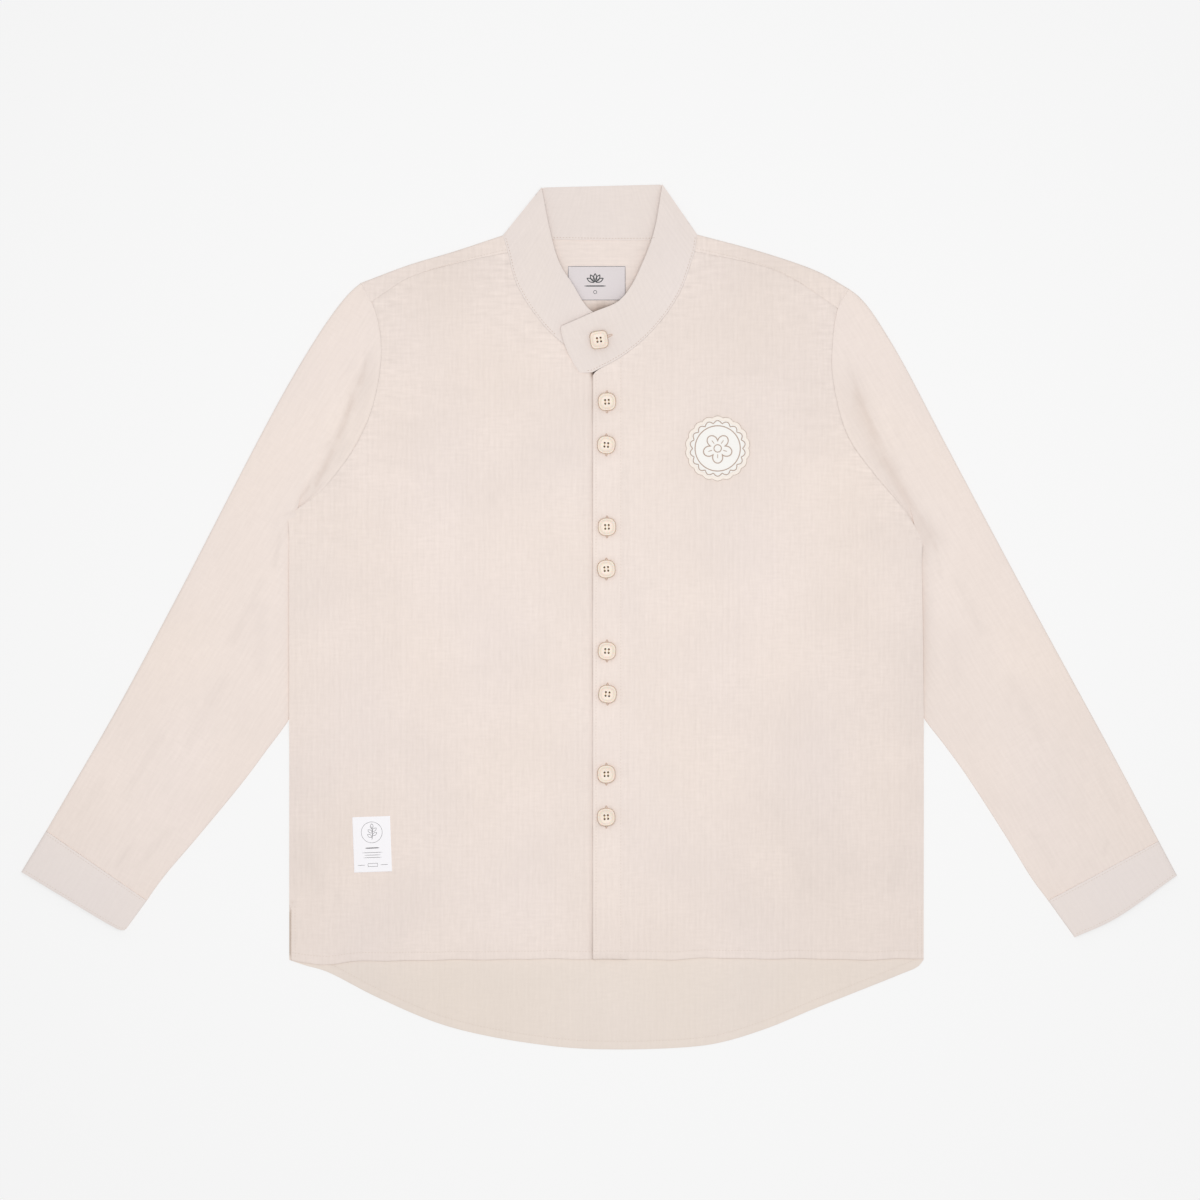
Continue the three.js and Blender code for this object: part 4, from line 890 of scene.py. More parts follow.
def yoke_mesh(name, cloth, step):
    """The yoke: two wings from the front seams over the shoulder folds to the back, and the part between
    them behind the neck. Rows: the wing's front, its fold, and its back. Its grid has steps of its own."""
    ends = [half["armhole"].at(YOKE_BACK_SHARE) for half in (RIGHT, LEFT)]
    neck = Edge(BACK_NECK)
    thick = cloth + 0.25
    turns, backs, columns = np.radians(np.linspace(75, -90, 12)), 22, 48
    wing_width, wing_front, between_wings = YOKE_LENGTHS
    c = places(wing_width, wing_width / columns)
    faces, linings, back_ends = [], [], []
    for half, share, end in ((RIGHT, WING_SHARE, 0), (LEFT, 1 - WING_SHARE, 1)):
        tip, corner = half["shoulder"].at(1.0), half["yoke_seam"].at(1.0)
        back_end = mix(ends[0], ends[1], share)
        back_ends.append(back_end)
        front = filled(
            half["shoulder"].at,
            half["yoke_seam"].at,
            lambda w, half=half: half["armhole"].at(1 - w * (1 - YOKE_SHARE)),
            lambda w, tip=tip, corner=corner: mix(tip, corner, w),
        )
        back = filled(
            half["shoulder"].at,
            lambda q, end=end, back_end=back_end: mix(ends[end], back_end, q),
            lambda w, half=half: half["armhole"].at(1 - w * (1 - YOKE_BACK_SHARE)),
            lambda w, tip=tip, back_end=back_end: mix(tip, back_end, w),
        )
        depth, back_depth = distance(tip, corner), distance(tip, back_end)
        start = BODY_FOLD / depth
        along = 1 - (1 - start) * places(wing_front, 2, True, False)
        u, w = np.meshgrid(c, along)
        plan = front(u, w)
        x, y = across_up(plan)
        seam = distance(plan, front(u, np.ones_like(w)))
        arm = distance(plan, front(np.zeros_like(u), w))
        neck_side = distance(plan, front(np.ones_like(u), w))
        top = front_top(x, y) + (2 * BODY_FOLD - front_top(x, y)) * gone(w, start, 0.75)
        top = top + 0.14 * puckers(seam, x, 5.0, 9, 31)
        top = top + 0.15 * puckers(arm, y, 4.6, 10, 32) * smooth(w, start, 0.5)
        top = top + groove(seam - 1.6, 0.2, 1.0) - groove(seam) - groove(arm) - groove(neck_side)
        top = top - groove(seam - YOKE_ROW, 0.1, 0.8)
        parts = [(level(plan, top), level(plan, top - thick))]
        angle, cc = np.meshgrid(turns, c, indexing="ij")
        parts.append(turn_fold(lambda d: np.where(
            (angle > 0)[..., None], front(cc, d / depth), back(cc, d / back_depth)
        ), BODY_FOLD, thick, angle))
        start = BODY_FOLD / back_depth
        u, w = np.meshgrid(c, start + (1 - start) * np.linspace(0, 1, backs)[1:])
        plan = back(u, w)
        parts.append((level(plan, 0.0), level(plan, thick)))
        faces.append(np.concatenate([p[0] for p in parts]))
        linings.append(np.concatenate([p[1] for p in parts]))
    fold_row = faces[0].shape[0] - (backs - 1) - 1
    share = places(between_wings, 3.5)[1:-1]
    u, w = np.meshgrid(share, np.linspace(0, 1, backs))
    plan = mix(neck.at(u), mix(back_ends[0], back_ends[1], u), w)
    x, y = across_up(plan)
    from_seam = 663 - y
    inside = thick + 0.12 * ripples(x, y, 30, 33, 0.5) * smooth(from_seam, 1, 6)
    inside = inside + groove(from_seam - 5, 0.4, 3.0) - groove(from_seam, 0.3)
    inside = inside + smooth(from_seam, 2, 6) * 0.12 * puckers(from_seam, x / 6 + from_seam, 3.2, 30, 34)
    middle_face = np.zeros((faces[0].shape[0], len(share), 3))
    middle_lining = np.zeros_like(middle_face)
    middle_face[fold_row:] = level(plan, 0.0)
    middle_lining[fold_row:] = level(plan, np.maximum(inside, 0.6))
    face = np.concatenate([faces[0], middle_face, faces[1][:, ::-1]], axis=1)
    lining = np.concatenate([linings[0], middle_lining, linings[1][:, ::-1]], axis=1)
    keep = np.ones((face.shape[0] - 1, face.shape[1] - 1), bool)
    keep[:fold_row, len(c) - 1 : len(c) + len(share)] = False
    x, y = across_up(face)
    behind = gone(np.abs(x), 52, 60) * smooth(y, 600, 625)
    # the inside behind the neck is paler; painted shade darkens the shoulder folds' edges
    tone = shade(x, y) + 0.03 * behind - 0.1 * np.exp(-(((face[..., 2] - BODY_FOLD) / 0.9) ** 2))
    # the shadow between the collar's two ends
    tone = tone - 0.24 * np.exp(-((x + 3) / 14) ** 2 - ((y - 597) / 8) ** 2)
    return shell(name, face, lining, np.stack([y, x], -1), keep, tone=tone, crinkled=0.6 - 0.4 * behind)


# Sleeves and cuffs


def widths(first, last):
    """Width of a tube along it, from one edge's length to another's."""
    return lambda t: first.length + (last.length - first.length) * t


def tube(name, surface, width_at, radius_at, thick, heights, across, along):
    """A flattened tube: round each ring go a fold of outer radius r, the upper side, the other fold and the
    under side on the surface. Its cloth is one thickness everywhere, and its warp runs straight from the
    middle of one end to the middle of the other."""
    turns = np.radians(np.linspace(-90, 90, 9))
    upper = across[1:-1]
    faces, linings, uvs, shades = [], [], [], []
    warp = surface(0.5, 1.0) - surface(0.5, 0.0)
    warp = warp / np.linalg.norm(warp)
    weft = np.array([-warp[1], warp[0]])
    weft = weft * np.sign((surface(1.0, 0.5) - surface(0.0, 0.5)) @ weft)

    def add(face, lining, around, run, tone):
        faces.append(face)
        linings.append(lining)
        uvs.append(np.stack([around, run], -1))
        shades.append(tone + 0 * run)

    def fold(angles, far):
        t, angle = np.meshgrid(along, angles, indexing="ij")
        wide = width_at(t)
        radius = radius_at(t, far)

        def place(d):
            share = 1 - d / wide if far else d / wide
            return surface(share, t)

        face, lining = turn_fold(place, radius, thick, angle)
        arc = (np.pi / 2 - angle) * radius
        around = place(radius) @ weft + (arc if far else -arc)
        # painted shade darkening each fold towards its outer side
        add(face, lining, around, face[..., :2] @ warp, -0.09 * np.cos(angle) ** 3)

    def flat(places_across):
        t, q = np.meshgrid(along, places_across, indexing="ij")
        near, far = radius_at(t, False) / width_at(t), radius_at(t, True) / width_at(t)
        s = near + (1 - near - far) * q
        return t, s, surface(s, t), surface(1 - far, t) @ weft, radius_at(t, True)

    fold(turns, False)
    t, s, plan, _, _ = flat(upper)
    z, tone = heights(plan, s, t)
    add(level(plan, z), level(plan, z - thick), plan @ weft, plan @ warp, tone)
    fold(turns[::-1], True)
    t, s, plan, fold_line, radius = flat(upper[::-1][::2])
    add(level(plan, 0.0), level(plan, thick), 2 * fold_line + np.pi * radius - plan @ weft, plan @ warp, 0.0)
    face, lining, uv, tone = (np.concatenate(some, axis=1) for some in (faces, linings, uvs, shades))
    return shell(name, face, lining, uv, loop=True, tone=tone)


def tube_roll(share, width, reach=18):
    """Rises quickly from both folds: (1 − exp(−s·w/reach))·(1 − exp(−(1−s)·w/reach))."""
    return (1 - np.exp(-share * width / reach)) * (1 - np.exp(-(1 - share) * width / reach))


def sleeve_surface(half):
    """Straight lines from the outer to the inner fold, drawn to the armhole seam near it by
    exp(−distance/35)."""
    length = half["outer"].length

    def at(s, t):
        s, t = np.broadcast_arrays(np.asarray(s, float), np.asarray(t, float))
        way = half["armhole"].direction(1 - s)
        seam = half["armhole"].at(1 - s) + SEAM * half["outward"] * np.stack([way[..., 1], -way[..., 0]], -1)
        across = mix(half["outer"].at(t), half["inner"].at(t**1.5), s)
        return mix(seam, across, 1 - np.exp(-t * length / 35))

    return at


def sleeve_height(half):
    """A sleeve's upper side and its painted light and shade: a low puff between its folds, pressed down
    beside the body, raised to the front at the armhole seam, less its folds, creases and hollow, with puckers
    at both ends."""
    length = half["outer"].length
    seams = (half["armhole"].length, half["cuff_seam"].length)
    wide = widths(half["armhole"], half["cuff_seam"])

    def at(plan, s, t):
        x, y = across_up(plan)
        row = y / half["underarm"] * SIDE_ROWS
        beside = smooth(y, 190, 215) * gone(row, SIDE_ROWS - 0.5, SIDE_ROWS + 0.5)
        reach = 7 if half is RIGHT else 13
        pressed = beside * np.exp(-np.maximum(np.abs(x) - HALF_CHEST - 0.3, 0) / reach)
        roll = tube_roll(s, wide(t))
        puff = 2.7 - 0.8 * t - troughs(SLEEVE_FOLDS, x, y)
        from_seam = t * length
        flat = fold_radius(from_seam)
        own = 2 * (BODY_FOLD + (flat - BODY_FOLD) * smooth(s, 0.75, 1)) + puff * roll * (1 - pressed)
        seam = np.maximum(front_top(x, y), 2 * flat)
        z = own + (seam - own) * fall(from_seam, 40)
        free = roll * (1 - pressed)
        relief = (0.06 * ripples(x, y, 14, 43) - troughs(SLEEVE_CREASES, x, y)) * free
        z = z + relief + 0.4 * ripples(x, y, 85, 41, 1.2) * free
        dip = hollow(ARMHOLE_HOLLOWS, x, y) * (1 - fall(from_seam, 8)) * (1 - pressed)
        z = np.maximum(z - dip, np.minimum(z, 1.5))
        z = z + 0.16 * puckers(from_seam, s * seams[0], 5.0, 14, 44) * roll
        z = z + 0.12 * puckers(length * (1 - t), s * seams[1], 5.0, 14, 45) * roll
        z = z - groove(from_seam) + groove(from_seam - 2.8, 0.3, 1.3) - groove(length * (1 - t))
        shadow, spread = (0.025, 14) if half is RIGHT else (0.07, 10)
        from_side = np.maximum(np.abs(x) - HALF_CHEST, 0)
        side_shade = -shadow * smooth(y, 200, 330) * beside * bell(from_side, spread)
        side_shade = side_shade - 0.05 * fall(from_seam, 0.8)
        side_shade = side_shade - 0.014 * np.exp(-((length * (1 - t) / 24) ** 2))
        # painted shade: darker in the armhole hollows and the creases, paler on the ridges
        return z, shade(x, y) - 0.03 * np.minimum(dip, 3) + 0.09 * relief + side_shade

    return at


def fold_radius(from_seam):
    """The sleeve's inner fold is thin where it is caught in the underarm seam."""
    return UNDERARM_THIN + (BODY_FOLD - UNDERARM_THIN) * smooth(from_seam, 4, 70)


def sleeve_mesh(name, half, cloth, step):
    """A sleeve: a tube from one seam gap off the armhole to the cuff's seam."""
    length = half["outer"].length
    return tube(
        name, sleeve_surface(half), widths(half["armhole"], half["cuff_seam"]),
        lambda t, far: fold_radius(t * length) if far else BODY_FOLD + 0 * t, cloth, sleeve_height(half),
        places(half["armhole"].length, step * 0.85, first=0.9), (1 - SEAM / length) * places(length, step),
    )


def cuff_surface(half):
    """A cuff in plan, between its seam with the sleeve and its end."""
    seam, end = half["cuff_seam"], half["cuff_end"]
    return filled(
        seam.at,
        end.at,
        lambda t: mix(seam.at(0.0), end.at(0.0), t),
        lambda t: mix(seam.at(1.0), end.at(1.0), t),
    )


def cuff_mesh(name, half, cloth, step):
    """A cuff: a firmer tube with a puff of 1.4 mm, grooves at its seam row and its end row."""
    surface = cuff_surface(half)
    width, depth = half["cuff_seam"].length, CUFF_DEPTH

    def heights(plan, s, t):
        x, y = across_up(plan)
        roll = tube_roll(s, width, 14)
        z = 2 * CUFF_FOLD + 1.4 * roll * (1 - 0.45 * np.exp(-(1 - t) * depth / 5))
        z = z + (0.12 * ripples(x, y, 34, 51) + 0.04 * ripples(x, y, 11, 52)) * roll
        z = z - troughs(CUFF_CREASES, x, y) + 0.05 * puckers(t * depth, s * width, 4.2, 6, 53)
        z = z - groove(t * depth, 0.16, 1.0) + groove(t * depth - 1.2, 0.1, 0.8)
        z = z - groove(t * depth - CUFF_SEAM_ROW, 0.1, 0.7)
        z = z - groove((1 - t) * depth - CUFF_END_ROW, 0.1, 0.7) - 0.5 * np.exp(-(1 - t) * depth / 0.8)
        return z, shade(x, y)

    return tube(
        name, surface, widths(half["cuff_seam"], half["cuff_end"]), lambda t, far: CUFF_FOLD + 0 * t,
        cloth + 0.5, heights, places(width, step), places(depth, step * 0.8),
    )


# The collar


def chain(points):
    """A straight-sided line through points, read by share of length."""
    points = np.asarray(points, float)
    run = run_along(points)
    return lambda s: np.stack([np.interp(s, run / run[-1], points[:, k]) for k in (0, 1)], -1), run[-1]


def collar_band():
    """The collar's two front stretches, over and under: neck seam, its length, and free edge."""
    fine = np.linspace(0, 1, 200)
    over_seam, over_length = chain(
        np.vstack([[TAB_CORNER], LEFT["neck"].at(1 - fine), [LEFT["shoulder"].at(1.0)]])
    )
    under_seam, under_length = chain(np.vstack([[RIGHT["shoulder"].at(1.0)], RIGHT["neck"].at(fine)]))
    over_free, under_free = Edge(OVER_FREE), Edge(UNDER_FREE)
    return (over_seam, over_length, over_free), (under_seam, under_length, under_free)


def band_plan(seam, free, share, v):
    """A point of the band: v of the way from the neck seam to the free edge, from one seam gap up."""
    low, high = seam(share), free(share)
    wide = distance(low, high)
    return mix(low, high, SEAM / wide + (1 - SEAM / wide) * v)


def collar_mesh(name, cloth, step):
    """One band in five stretches: over the left front, the left fold, the back, the right fold, and under
    to the right front. Its edges are rounded and its rows of stitches lie in grooves."""
    (over_seam, over_length, over_free), (under_seam, under_length, under_free) = collar_band()
    thick = cloth + 0.6
    v = places(BAND_WIDTH, 2.2)
    faces, linings, uvs, shades = [], [], [], []
    run = 0.0

    def add(face, lining, along, across, dark=0.0):
        faces.append(face)
        linings.append(lining)
        uvs.append(np.stack([along, across], -1))
        shades.append(shade(face[..., 0], face[..., 1]) - dark)

    def dressed(z, plan, v, wide, seed):
        x, y = across_up(plan)
        from_seam, from_free = v * wide, (1 - v) * wide
        z = z - troughs(COLLAR_CREASES, x, y)
        z = z + 0.14 * ripples(x, y, 36, seed) + 0.04 * ripples(x, y, 11, seed + 1)
        z = z - groove(from_seam, 0.3, 0.9) - groove(from_seam - COLLAR_ROW, 0.12, 0.7)
        return z - 0.4 * fall(from_free, 0.9)

    share, across = np.meshgrid(places(over_length, step), v)
    plan = band_plan(over_seam, over_free.at, share, across)
    bulge = 3.0 * 4 * across * (1 - across) * np.exp(-share * over_length / 5)
    plan = plan - np.stack([bulge, 0 * bulge], -1)
    x, y = across_up(plan)
    stand = 0.6 * gone(x, 20, 60)
    top = front_top(x, y) + lap(x) + stand + 1.4 * np.sin(across * np.pi / 2)
    top = np.maximum(top, 2 * COLLAR_FOLD)
    top = top + (2 * COLLAR_FOLD - top) * smooth(share, 0.92, 1)
    end = share * over_length
    top = dressed(top, plan, across, BAND_WIDTH, 61) - 0.5 * fall(end, 0.9) - fall(end, 6)
    add(level(plan, top), level(plan, top - thick), run + share * over_length, across * BAND_WIDTH)
    run += over_length

    def fold(seam_point, free_point, inward, angles):
        angle, vv = np.meshgrid(angles, v)
        ends = [lambda s, point=point: point + 0 * s[..., None] for point in (seam_point, free_point)]
        start = band_plan(*ends, vv, vv)
        way = free_point - seam_point
        aside = inward * np.array([way[1], -way[0]]) / np.linalg.norm(way)
        face, lining = turn_fold(lambda d: start + d[..., None] * aside, COLLAR_FOLD, thick, angle)
        along = run + (np.pi / 2 - angle) * COLLAR_FOLD
        # painted shade darkening each fold towards its outer side
        add(face, lining, along, vv * BAND_WIDTH, 0.08 * np.cos(angle) ** 3)

    left_neck, right_neck = LEFT["shoulder"].at(1.0), RIGHT["shoulder"].at(1.0)
    left_top, right_top = np.array(COLLAR_TOP["left"]), np.array(COLLAR_TOP["right"])
    turns = np.radians(np.linspace(75, -75, 9))
    fold(left_neck, left_top, -1, turns)
    neck = Edge(BACK_NECK)
    share, across = np.meshgrid(places(BAND_BACK, 3.0, False, False)[1:-1], v)
    low = neck.at(1 - share)
    high = mix(left_top, right_top, share)
    wide = distance(low, high)
    plan = mix(low, high, SEAM / wide + (1 - SEAM / wide) * across)
    inside = np.maximum(dressed(thick + 0.3 + 0 * across, plan, across, BAND_WIDTH_UNDER, 71), 0.5)
    add(level(plan, 0.0), level(plan, inside), run + share * BAND_BACK, across * BAND_WIDTH)
    fold(right_neck, right_top, 1, turns[::-1])
    share, across = np.meshgrid(places(under_length, step, True, False), v)
    plan = band_plan(under_seam, under_free.at, share, across)
    x, y = across_up(plan)
    rise = 1.4 * np.sin(across * np.pi / 2) * gone(share, 0.25, 0.6)
    top = np.maximum(front_top(x, y) + rise, 2 * COLLAR_FOLD)
    top = 2 * COLLAR_FOLD + (top - 2 * COLLAR_FOLD) * smooth(share, 0, 0.08)
    top = dressed(top, plan, across, BAND_WIDTH_UNDER, 81)
    along = run + BAND_BACK + share * under_length
    add(level(plan, top), level(plan, top - thick), along, across * BAND_WIDTH)
    face, lining, uv, tone = (np.concatenate(some, axis=1) for some in (faces, linings, uvs, shades))
    return shell(name, face, lining, uv, tone=tone)


# Materials

# A wave texture of scale 1 repeats about every 0.314 of its coordinate, here metres to millimetres
WAVE_SCALE = 0.314 * MM_IN_METRE
# The cotton's noises: size across and along the warp in millimetres, and detail
YARN_NOISE = {
    "yarn": (1.9, 13, 1.0), "long yarn": (2.8, 120, 0.0), "slub": (12, 2.4, 1.0), "weave": (0.9, 0.9, 0.0),
    "patches": (70, 60, 0.0), "blotch": (28, 36, 1.5), "broad": (120, 150, 0.0), "crinkle": (7, 5, 2.0),
    "warmth": (90, 120, 0.0), "pull": (17, 3.4, 1.0),
}
# How much each counts in the colour, between the yarns' darkest and palest tone, and in the height
YARN_COLOUR = {
    "yarn": 0.34, "long yarn": 0.14, "stripe": 0.06, "crosswise": 0.5, "blotch": 0.14, "broad": 0.15,
    "pull": 1.4,
}
YARN_TONES = (0.88, 1.12)
YARN_HEIGHT = {"yarn": 1.5, "slub": 0.3, "weave": 0.35, "crosswise": 2.2, "stripe": 0.2, "pull": 16}
YARN_BUMP = 0.00004
WARM_TINT, COOL_TINT = (1.0, 0.99, 0.975, 1), (0.985, 0.985, 1.0, 1)
# Below a mark of −0.05 the painted shade turns deeper and browner, by a gamma that grows 4 times as fast as
# the mark falls
DEEP_SHADE, DEEP_SHADE_BROWNING = 0.05, 4.0
# In millimetres: the thread's twist, the resin's clouds and scuffs, and the satin's threads and slubs
THREAD_TWIST, RESIN_NOISE, SATIN_PITCH, SATIN_SLUB = 0.5, (5, 1.2), 0.6, 1.5


def add_node(tree, kind, inputs=None, **settings):
    """One node with its settings and inputs, where another node's output is linked and a constant is set."""
    node = tree.nodes.new("ShaderNode" + kind)
    for key, value in settings.items():
        setattr(node, key, value)
    for key, value in (inputs or {}).items():
        if isinstance(value, bpy.types.NodeSocket):
            tree.links.new(value, node.inputs[key])
        else:
            node.inputs[key].default_value = value
    return node


def new_material(name, inputs):
    """A material whose shader holds every constant on its own sockets."""
    material = bpy.data.materials.new(name)
    material.use_nodes = True
    tree = material.node_tree
    shader = tree.nodes["Principled BSDF"]
    for key, value in inputs.items():
        shader.inputs[key].default_value = value
    return material, tree, shader


def cotton(name, colour, stripe, crinkle, contrast):
    """Slubbed cotton: matt, with uneven yarns that make a fine tonal stripe along the warp, short crosswise
    slubs, and soft unevenness. A yarn is too fine for the picture, so the weave is drawn at about 1 mm.
    The mesh's tone mark, mostly painted light and shade with some of the cloth's own tone, makes the colour
    paler above 0 and darker below it, and browner past −0.05, where it paints deep shade."""
    material, tree, shader = new_material(name, {
        "Roughness": 0.9, "IOR": 1.47, "Specular IOR Level": 0.2,
        "Sheen Weight": 0.08, "Sheen Roughness": 0.5, "Sheen Tint": colour,
    })
    place = add_node(tree, "UVMap", uv_map="cloth_metres").outputs["UV"]
    layers = {}
    for part, (across, along, detail) in YARN_NOISE.items():
        size = {"Vector": place, "Scale": (MM_IN_METRE / across, MM_IN_METRE / along, 1)}
        scaled = add_node(tree, "Mapping", size).outputs[0]
        grain = add_node(tree, "TexNoise", {"Vector": scaled, "Scale": 1.0, "Detail": detail})
        layers[part] = grain.outputs["Fac"]
    wave = {"Vector": place, "Scale": WAVE_SCALE / stripe, "Distortion": 2.0, "Detail": 0.0}
    layers["stripe"] = add_node(tree, "TexWave", wave, bands_direction="X").outputs["Fac"]
    # crosswise crinkles where a seam holds the cloth back, bumped and also painted as shade in the colour
    near_seam = add_node(tree, "Attribute", attribute_name="crinkled").outputs["Fac"]
    patchy = add_node(tree, "Math", {0: near_seam, 1: layers["patches"]}, operation="MULTIPLY")
    pull = add_node(tree, "Math", {0: layers["pull"], 1: -0.5}, operation="ADD")
    pulled = add_node(tree, "Math", {0: pull.outputs[0], 1: patchy.outputs[0]}, operation="MULTIPLY")
    layers["pull"] = pulled.outputs[0]
    slubs = add_node(tree, "Math", {0: layers["slub"], 1: layers["patches"]}, operation="MULTIPLY")
    layers["crosswise"] = slubs.outputs[0]

    def blend(weights, start):
        """start + Σ weight·layer."""
        first = add_node(tree, "Value")
        first.outputs[0].default_value = start
        total = first.outputs[0]
        for part, weight in weights.items():
            inputs = {0: layers[part], 1: weight, 2: total}
            total = add_node(tree, "Math", inputs, operation="MULTIPLY_ADD").outputs[0]
        return total

    share = blend({part: weight * contrast for part, weight in YARN_COLOUR.items()}, 0.5 - 0.54 * contrast)
    low, high = (tuple(part * by for part in colour[:3]) + (1.0,) for by in YARN_TONES)
    plain = add_node(tree, "Mix", {0: share, 6: low, 7: high}, data_type="RGBA")
    tint = {0: layers["warmth"], 6: WARM_TINT, 7: COOL_TINT}
    tint = add_node(tree, "Mix", tint, data_type="RGBA")
    dyed = {0: 1.0, 6: plain.outputs[2], 7: tint.outputs[2]}
    dyed = add_node(tree, "Mix", dyed, data_type="RGBA", blend_type="MULTIPLY")
    tone = add_node(tree, "Attribute", attribute_name="tone").outputs["Fac"]
    bright = add_node(tree, "Math", {0: tone, 1: 1.0}, operation="ADD")
    shaded = {0: dyed.outputs[2], "Scale": bright.outputs[0]}
    shaded = add_node(tree, "VectorMath", shaded, operation="SCALE")
    # painted deep shade turns browner past −0.05
    past = add_node(tree, "Math", {0: tone, 1: DEEP_SHADE}, operation="ADD")
    below = add_node(tree, "Math", {0: past.outputs[0], 1: 0.0}, operation="MINIMUM")
    depth = {0: below.outputs[0], 1: -DEEP_SHADE_BROWNING, 2: 1.0}
    depth = add_node(tree, "Math", depth, operation="MULTIPLY_ADD")
    deep = add_node(tree, "Gamma", {"Color": shaded.outputs[0], "Gamma": depth.outputs[0]})
    tree.links.new(deep.outputs[0], shader.inputs["Base Color"])
    fine = {"Strength": 1.0, "Distance": YARN_BUMP, "Height": blend(YARN_HEIGHT, 0.0)}
    fine = add_node(tree, "Bump", fine).outputs[0]
    soft = {"Strength": 1.0, "Distance": crinkle, "Height": layers["crinkle"], "Normal": fine}
    tree.links.new(add_node(tree, "Bump", soft).outputs[0], shader.inputs["Normal"])
    return material


def thread(name, colour):
    """Spun polyester thread: slightly glossy, with its twist as a bump 0.5 mm apart."""
    material, tree, shader = new_material(name, {
        "Base Color": colour, "Roughness": 0.55, "IOR": 1.5, "Specular IOR Level": 0.35,
        "Sheen Weight": 0.3, "Sheen Roughness": 0.4,
    })
    place = add_node(tree, "TexCoord").outputs["Object"]
    twist = {"Vector": place, "Scale": WAVE_SCALE / THREAD_TWIST, "Distortion": 1.0}
    twist = add_node(tree, "TexWave", twist, bands_direction="DIAGONAL").outputs["Fac"]
    bump = add_node(tree, "Bump", {"Strength": 0.4, "Distance": 0.0001, "Height": twist})
    tree.links.new(bump.outputs[0], shader.inputs["Normal"])
    return material


def resin(name, light, dark, back):
    """Cast polyester resin: satin, warm and slightly cloudy, with a soft coat from tumbling. A painted brown
    shade darkens the lower edge of the rim, a line round it where the button meets the cloth."""
    material, tree, shader = new_material(name, {
        "Roughness": 0.38, "IOR": 1.54, "Coat Weight": 0.15, "Coat Roughness": 0.3,
        "Subsurface Weight": 0.08, "Subsurface Scale": 0.001,
    })
    place = add_node(tree, "TexCoord").outputs["Object"]
    cloud, scuff = (
        add_node(tree, "TexNoise", {"Vector": place, "Scale": MM_IN_METRE / size, "Detail": 2.0})
        for size in RESIN_NOISE
    )
    colour = {0: cloud.outputs["Fac"], 6: dark, 7: light}
    colour = add_node(tree, "Mix", colour, data_type="RGBA").outputs[2]
    # painted brown shade on the rim's lower edge
    rim = add_node(tree, "Attribute", attribute_name="rim").outputs["Fac"]
    rim_shaded = add_node(tree, "Mix", {0: rim, 6: colour, 7: back}, data_type="RGBA")
    tree.links.new(rim_shaded.outputs[2], shader.inputs["Base Color"])
    bump = {"Strength": 0.1, "Distance": 0.00005, "Height": scuff.outputs["Fac"]}
    tree.links.new(add_node(tree, "Bump", bump).outputs[0], shader.inputs["Normal"])
    return material


def satin(name, light, dark):
    """Woven satin tape: smooth, a faint gloss, and fine threads across it, 0.6 mm apart."""
    material, tree, shader = new_material(name, {
        "Roughness": 0.5, "IOR": 1.5, "Specular IOR Level": 0.4, "Sheen Weight": 0.2, "Sheen Roughness": 0.3,
    })
    place = add_node(tree, "UVMap", uv_map="cloth_metres").outputs["UV"]
    weave = {"Vector": place, "Scale": WAVE_SCALE / SATIN_PITCH, "Distortion": 0.4}
    weave = add_node(tree, "TexWave", weave, bands_direction="Y").outputs["Fac"]
    slub = {"Vector": place, "Scale": MM_IN_METRE / SATIN_SLUB, "Detail": 2.0}
    slub = add_node(tree, "TexNoise", slub).outputs["Fac"]
    grain = add_node(tree, "Math", {0: weave, 1: 0.4, 2: slub}, operation="MULTIPLY_ADD").outputs[0]
    colour = add_node(tree, "Mix", {0: grain, 6: dark, 7: light}, data_type="RGBA")
    tree.links.new(colour.outputs[2], shader.inputs["Base Color"])
    bump = add_node(tree, "Bump", {"Strength": 0.3, "Distance": 0.00006, "Height": grain})
    tree.links.new(bump.outputs[0], shader.inputs["Normal"])
    return material


# What a user would change


def colour_property(name, description, code):
    """A colour, given as sRGB hex."""
    return FloatVectorProperty(
        name=name, description=description, default=linear(code), size=4, min=0, max=1, subtype="COLOR"
    )


def length_property(name, description, default, low, high, precision=4):
    """A length in metres."""
    return FloatProperty(
        name=name, description=description, default=default, min=low, max=high, precision=precision,
        subtype="DISTANCE", unit="LENGTH",
    )


class ShirtCloth(bpy.types.PropertyGroup):
    """Sizes and colours of the shirt's cloth."""

    thickness: length_property("Cloth", "Thickness of one layer of the cotton", 0.00065, 0.0004, 0.001, 5)
    grid: length_property("Grid", "Distance between the points of the cloth's mesh", 0.0026, 0.002, 0.02)
    stripe: length_property(
        "Stripe pitch", "Distance between two lines of the tonal stripe", 0.0051, 0.001, 0.02
    )
    crinkle: length_property(
        "Crinkle", "Depth of the finest unevenness of the cloth", 0.00012, 0.0, 0.001, 5
    )
    body: colour_property("Body", "Colour of the fronts and the yoke", "#f1e4dc")
    sleeve: colour_property("Sleeves", "Colour of the sleeves", "#f4e7df")
    back: colour_property("Back", "Colour of the back", "#ede1d7")
    collar: colour_property("Collar", "Colour of the collar", "#efe4de")
    cuff: colour_property("Cuffs", "Colour of the cuffs", "#f0e6e1")
    thread: colour_property("Thread", "Colour of the stitching", "#e4d6cb")
    neck_thread: colour_property("Neck thread", "Colour of the stitching round the neck", "#cdb8a9")


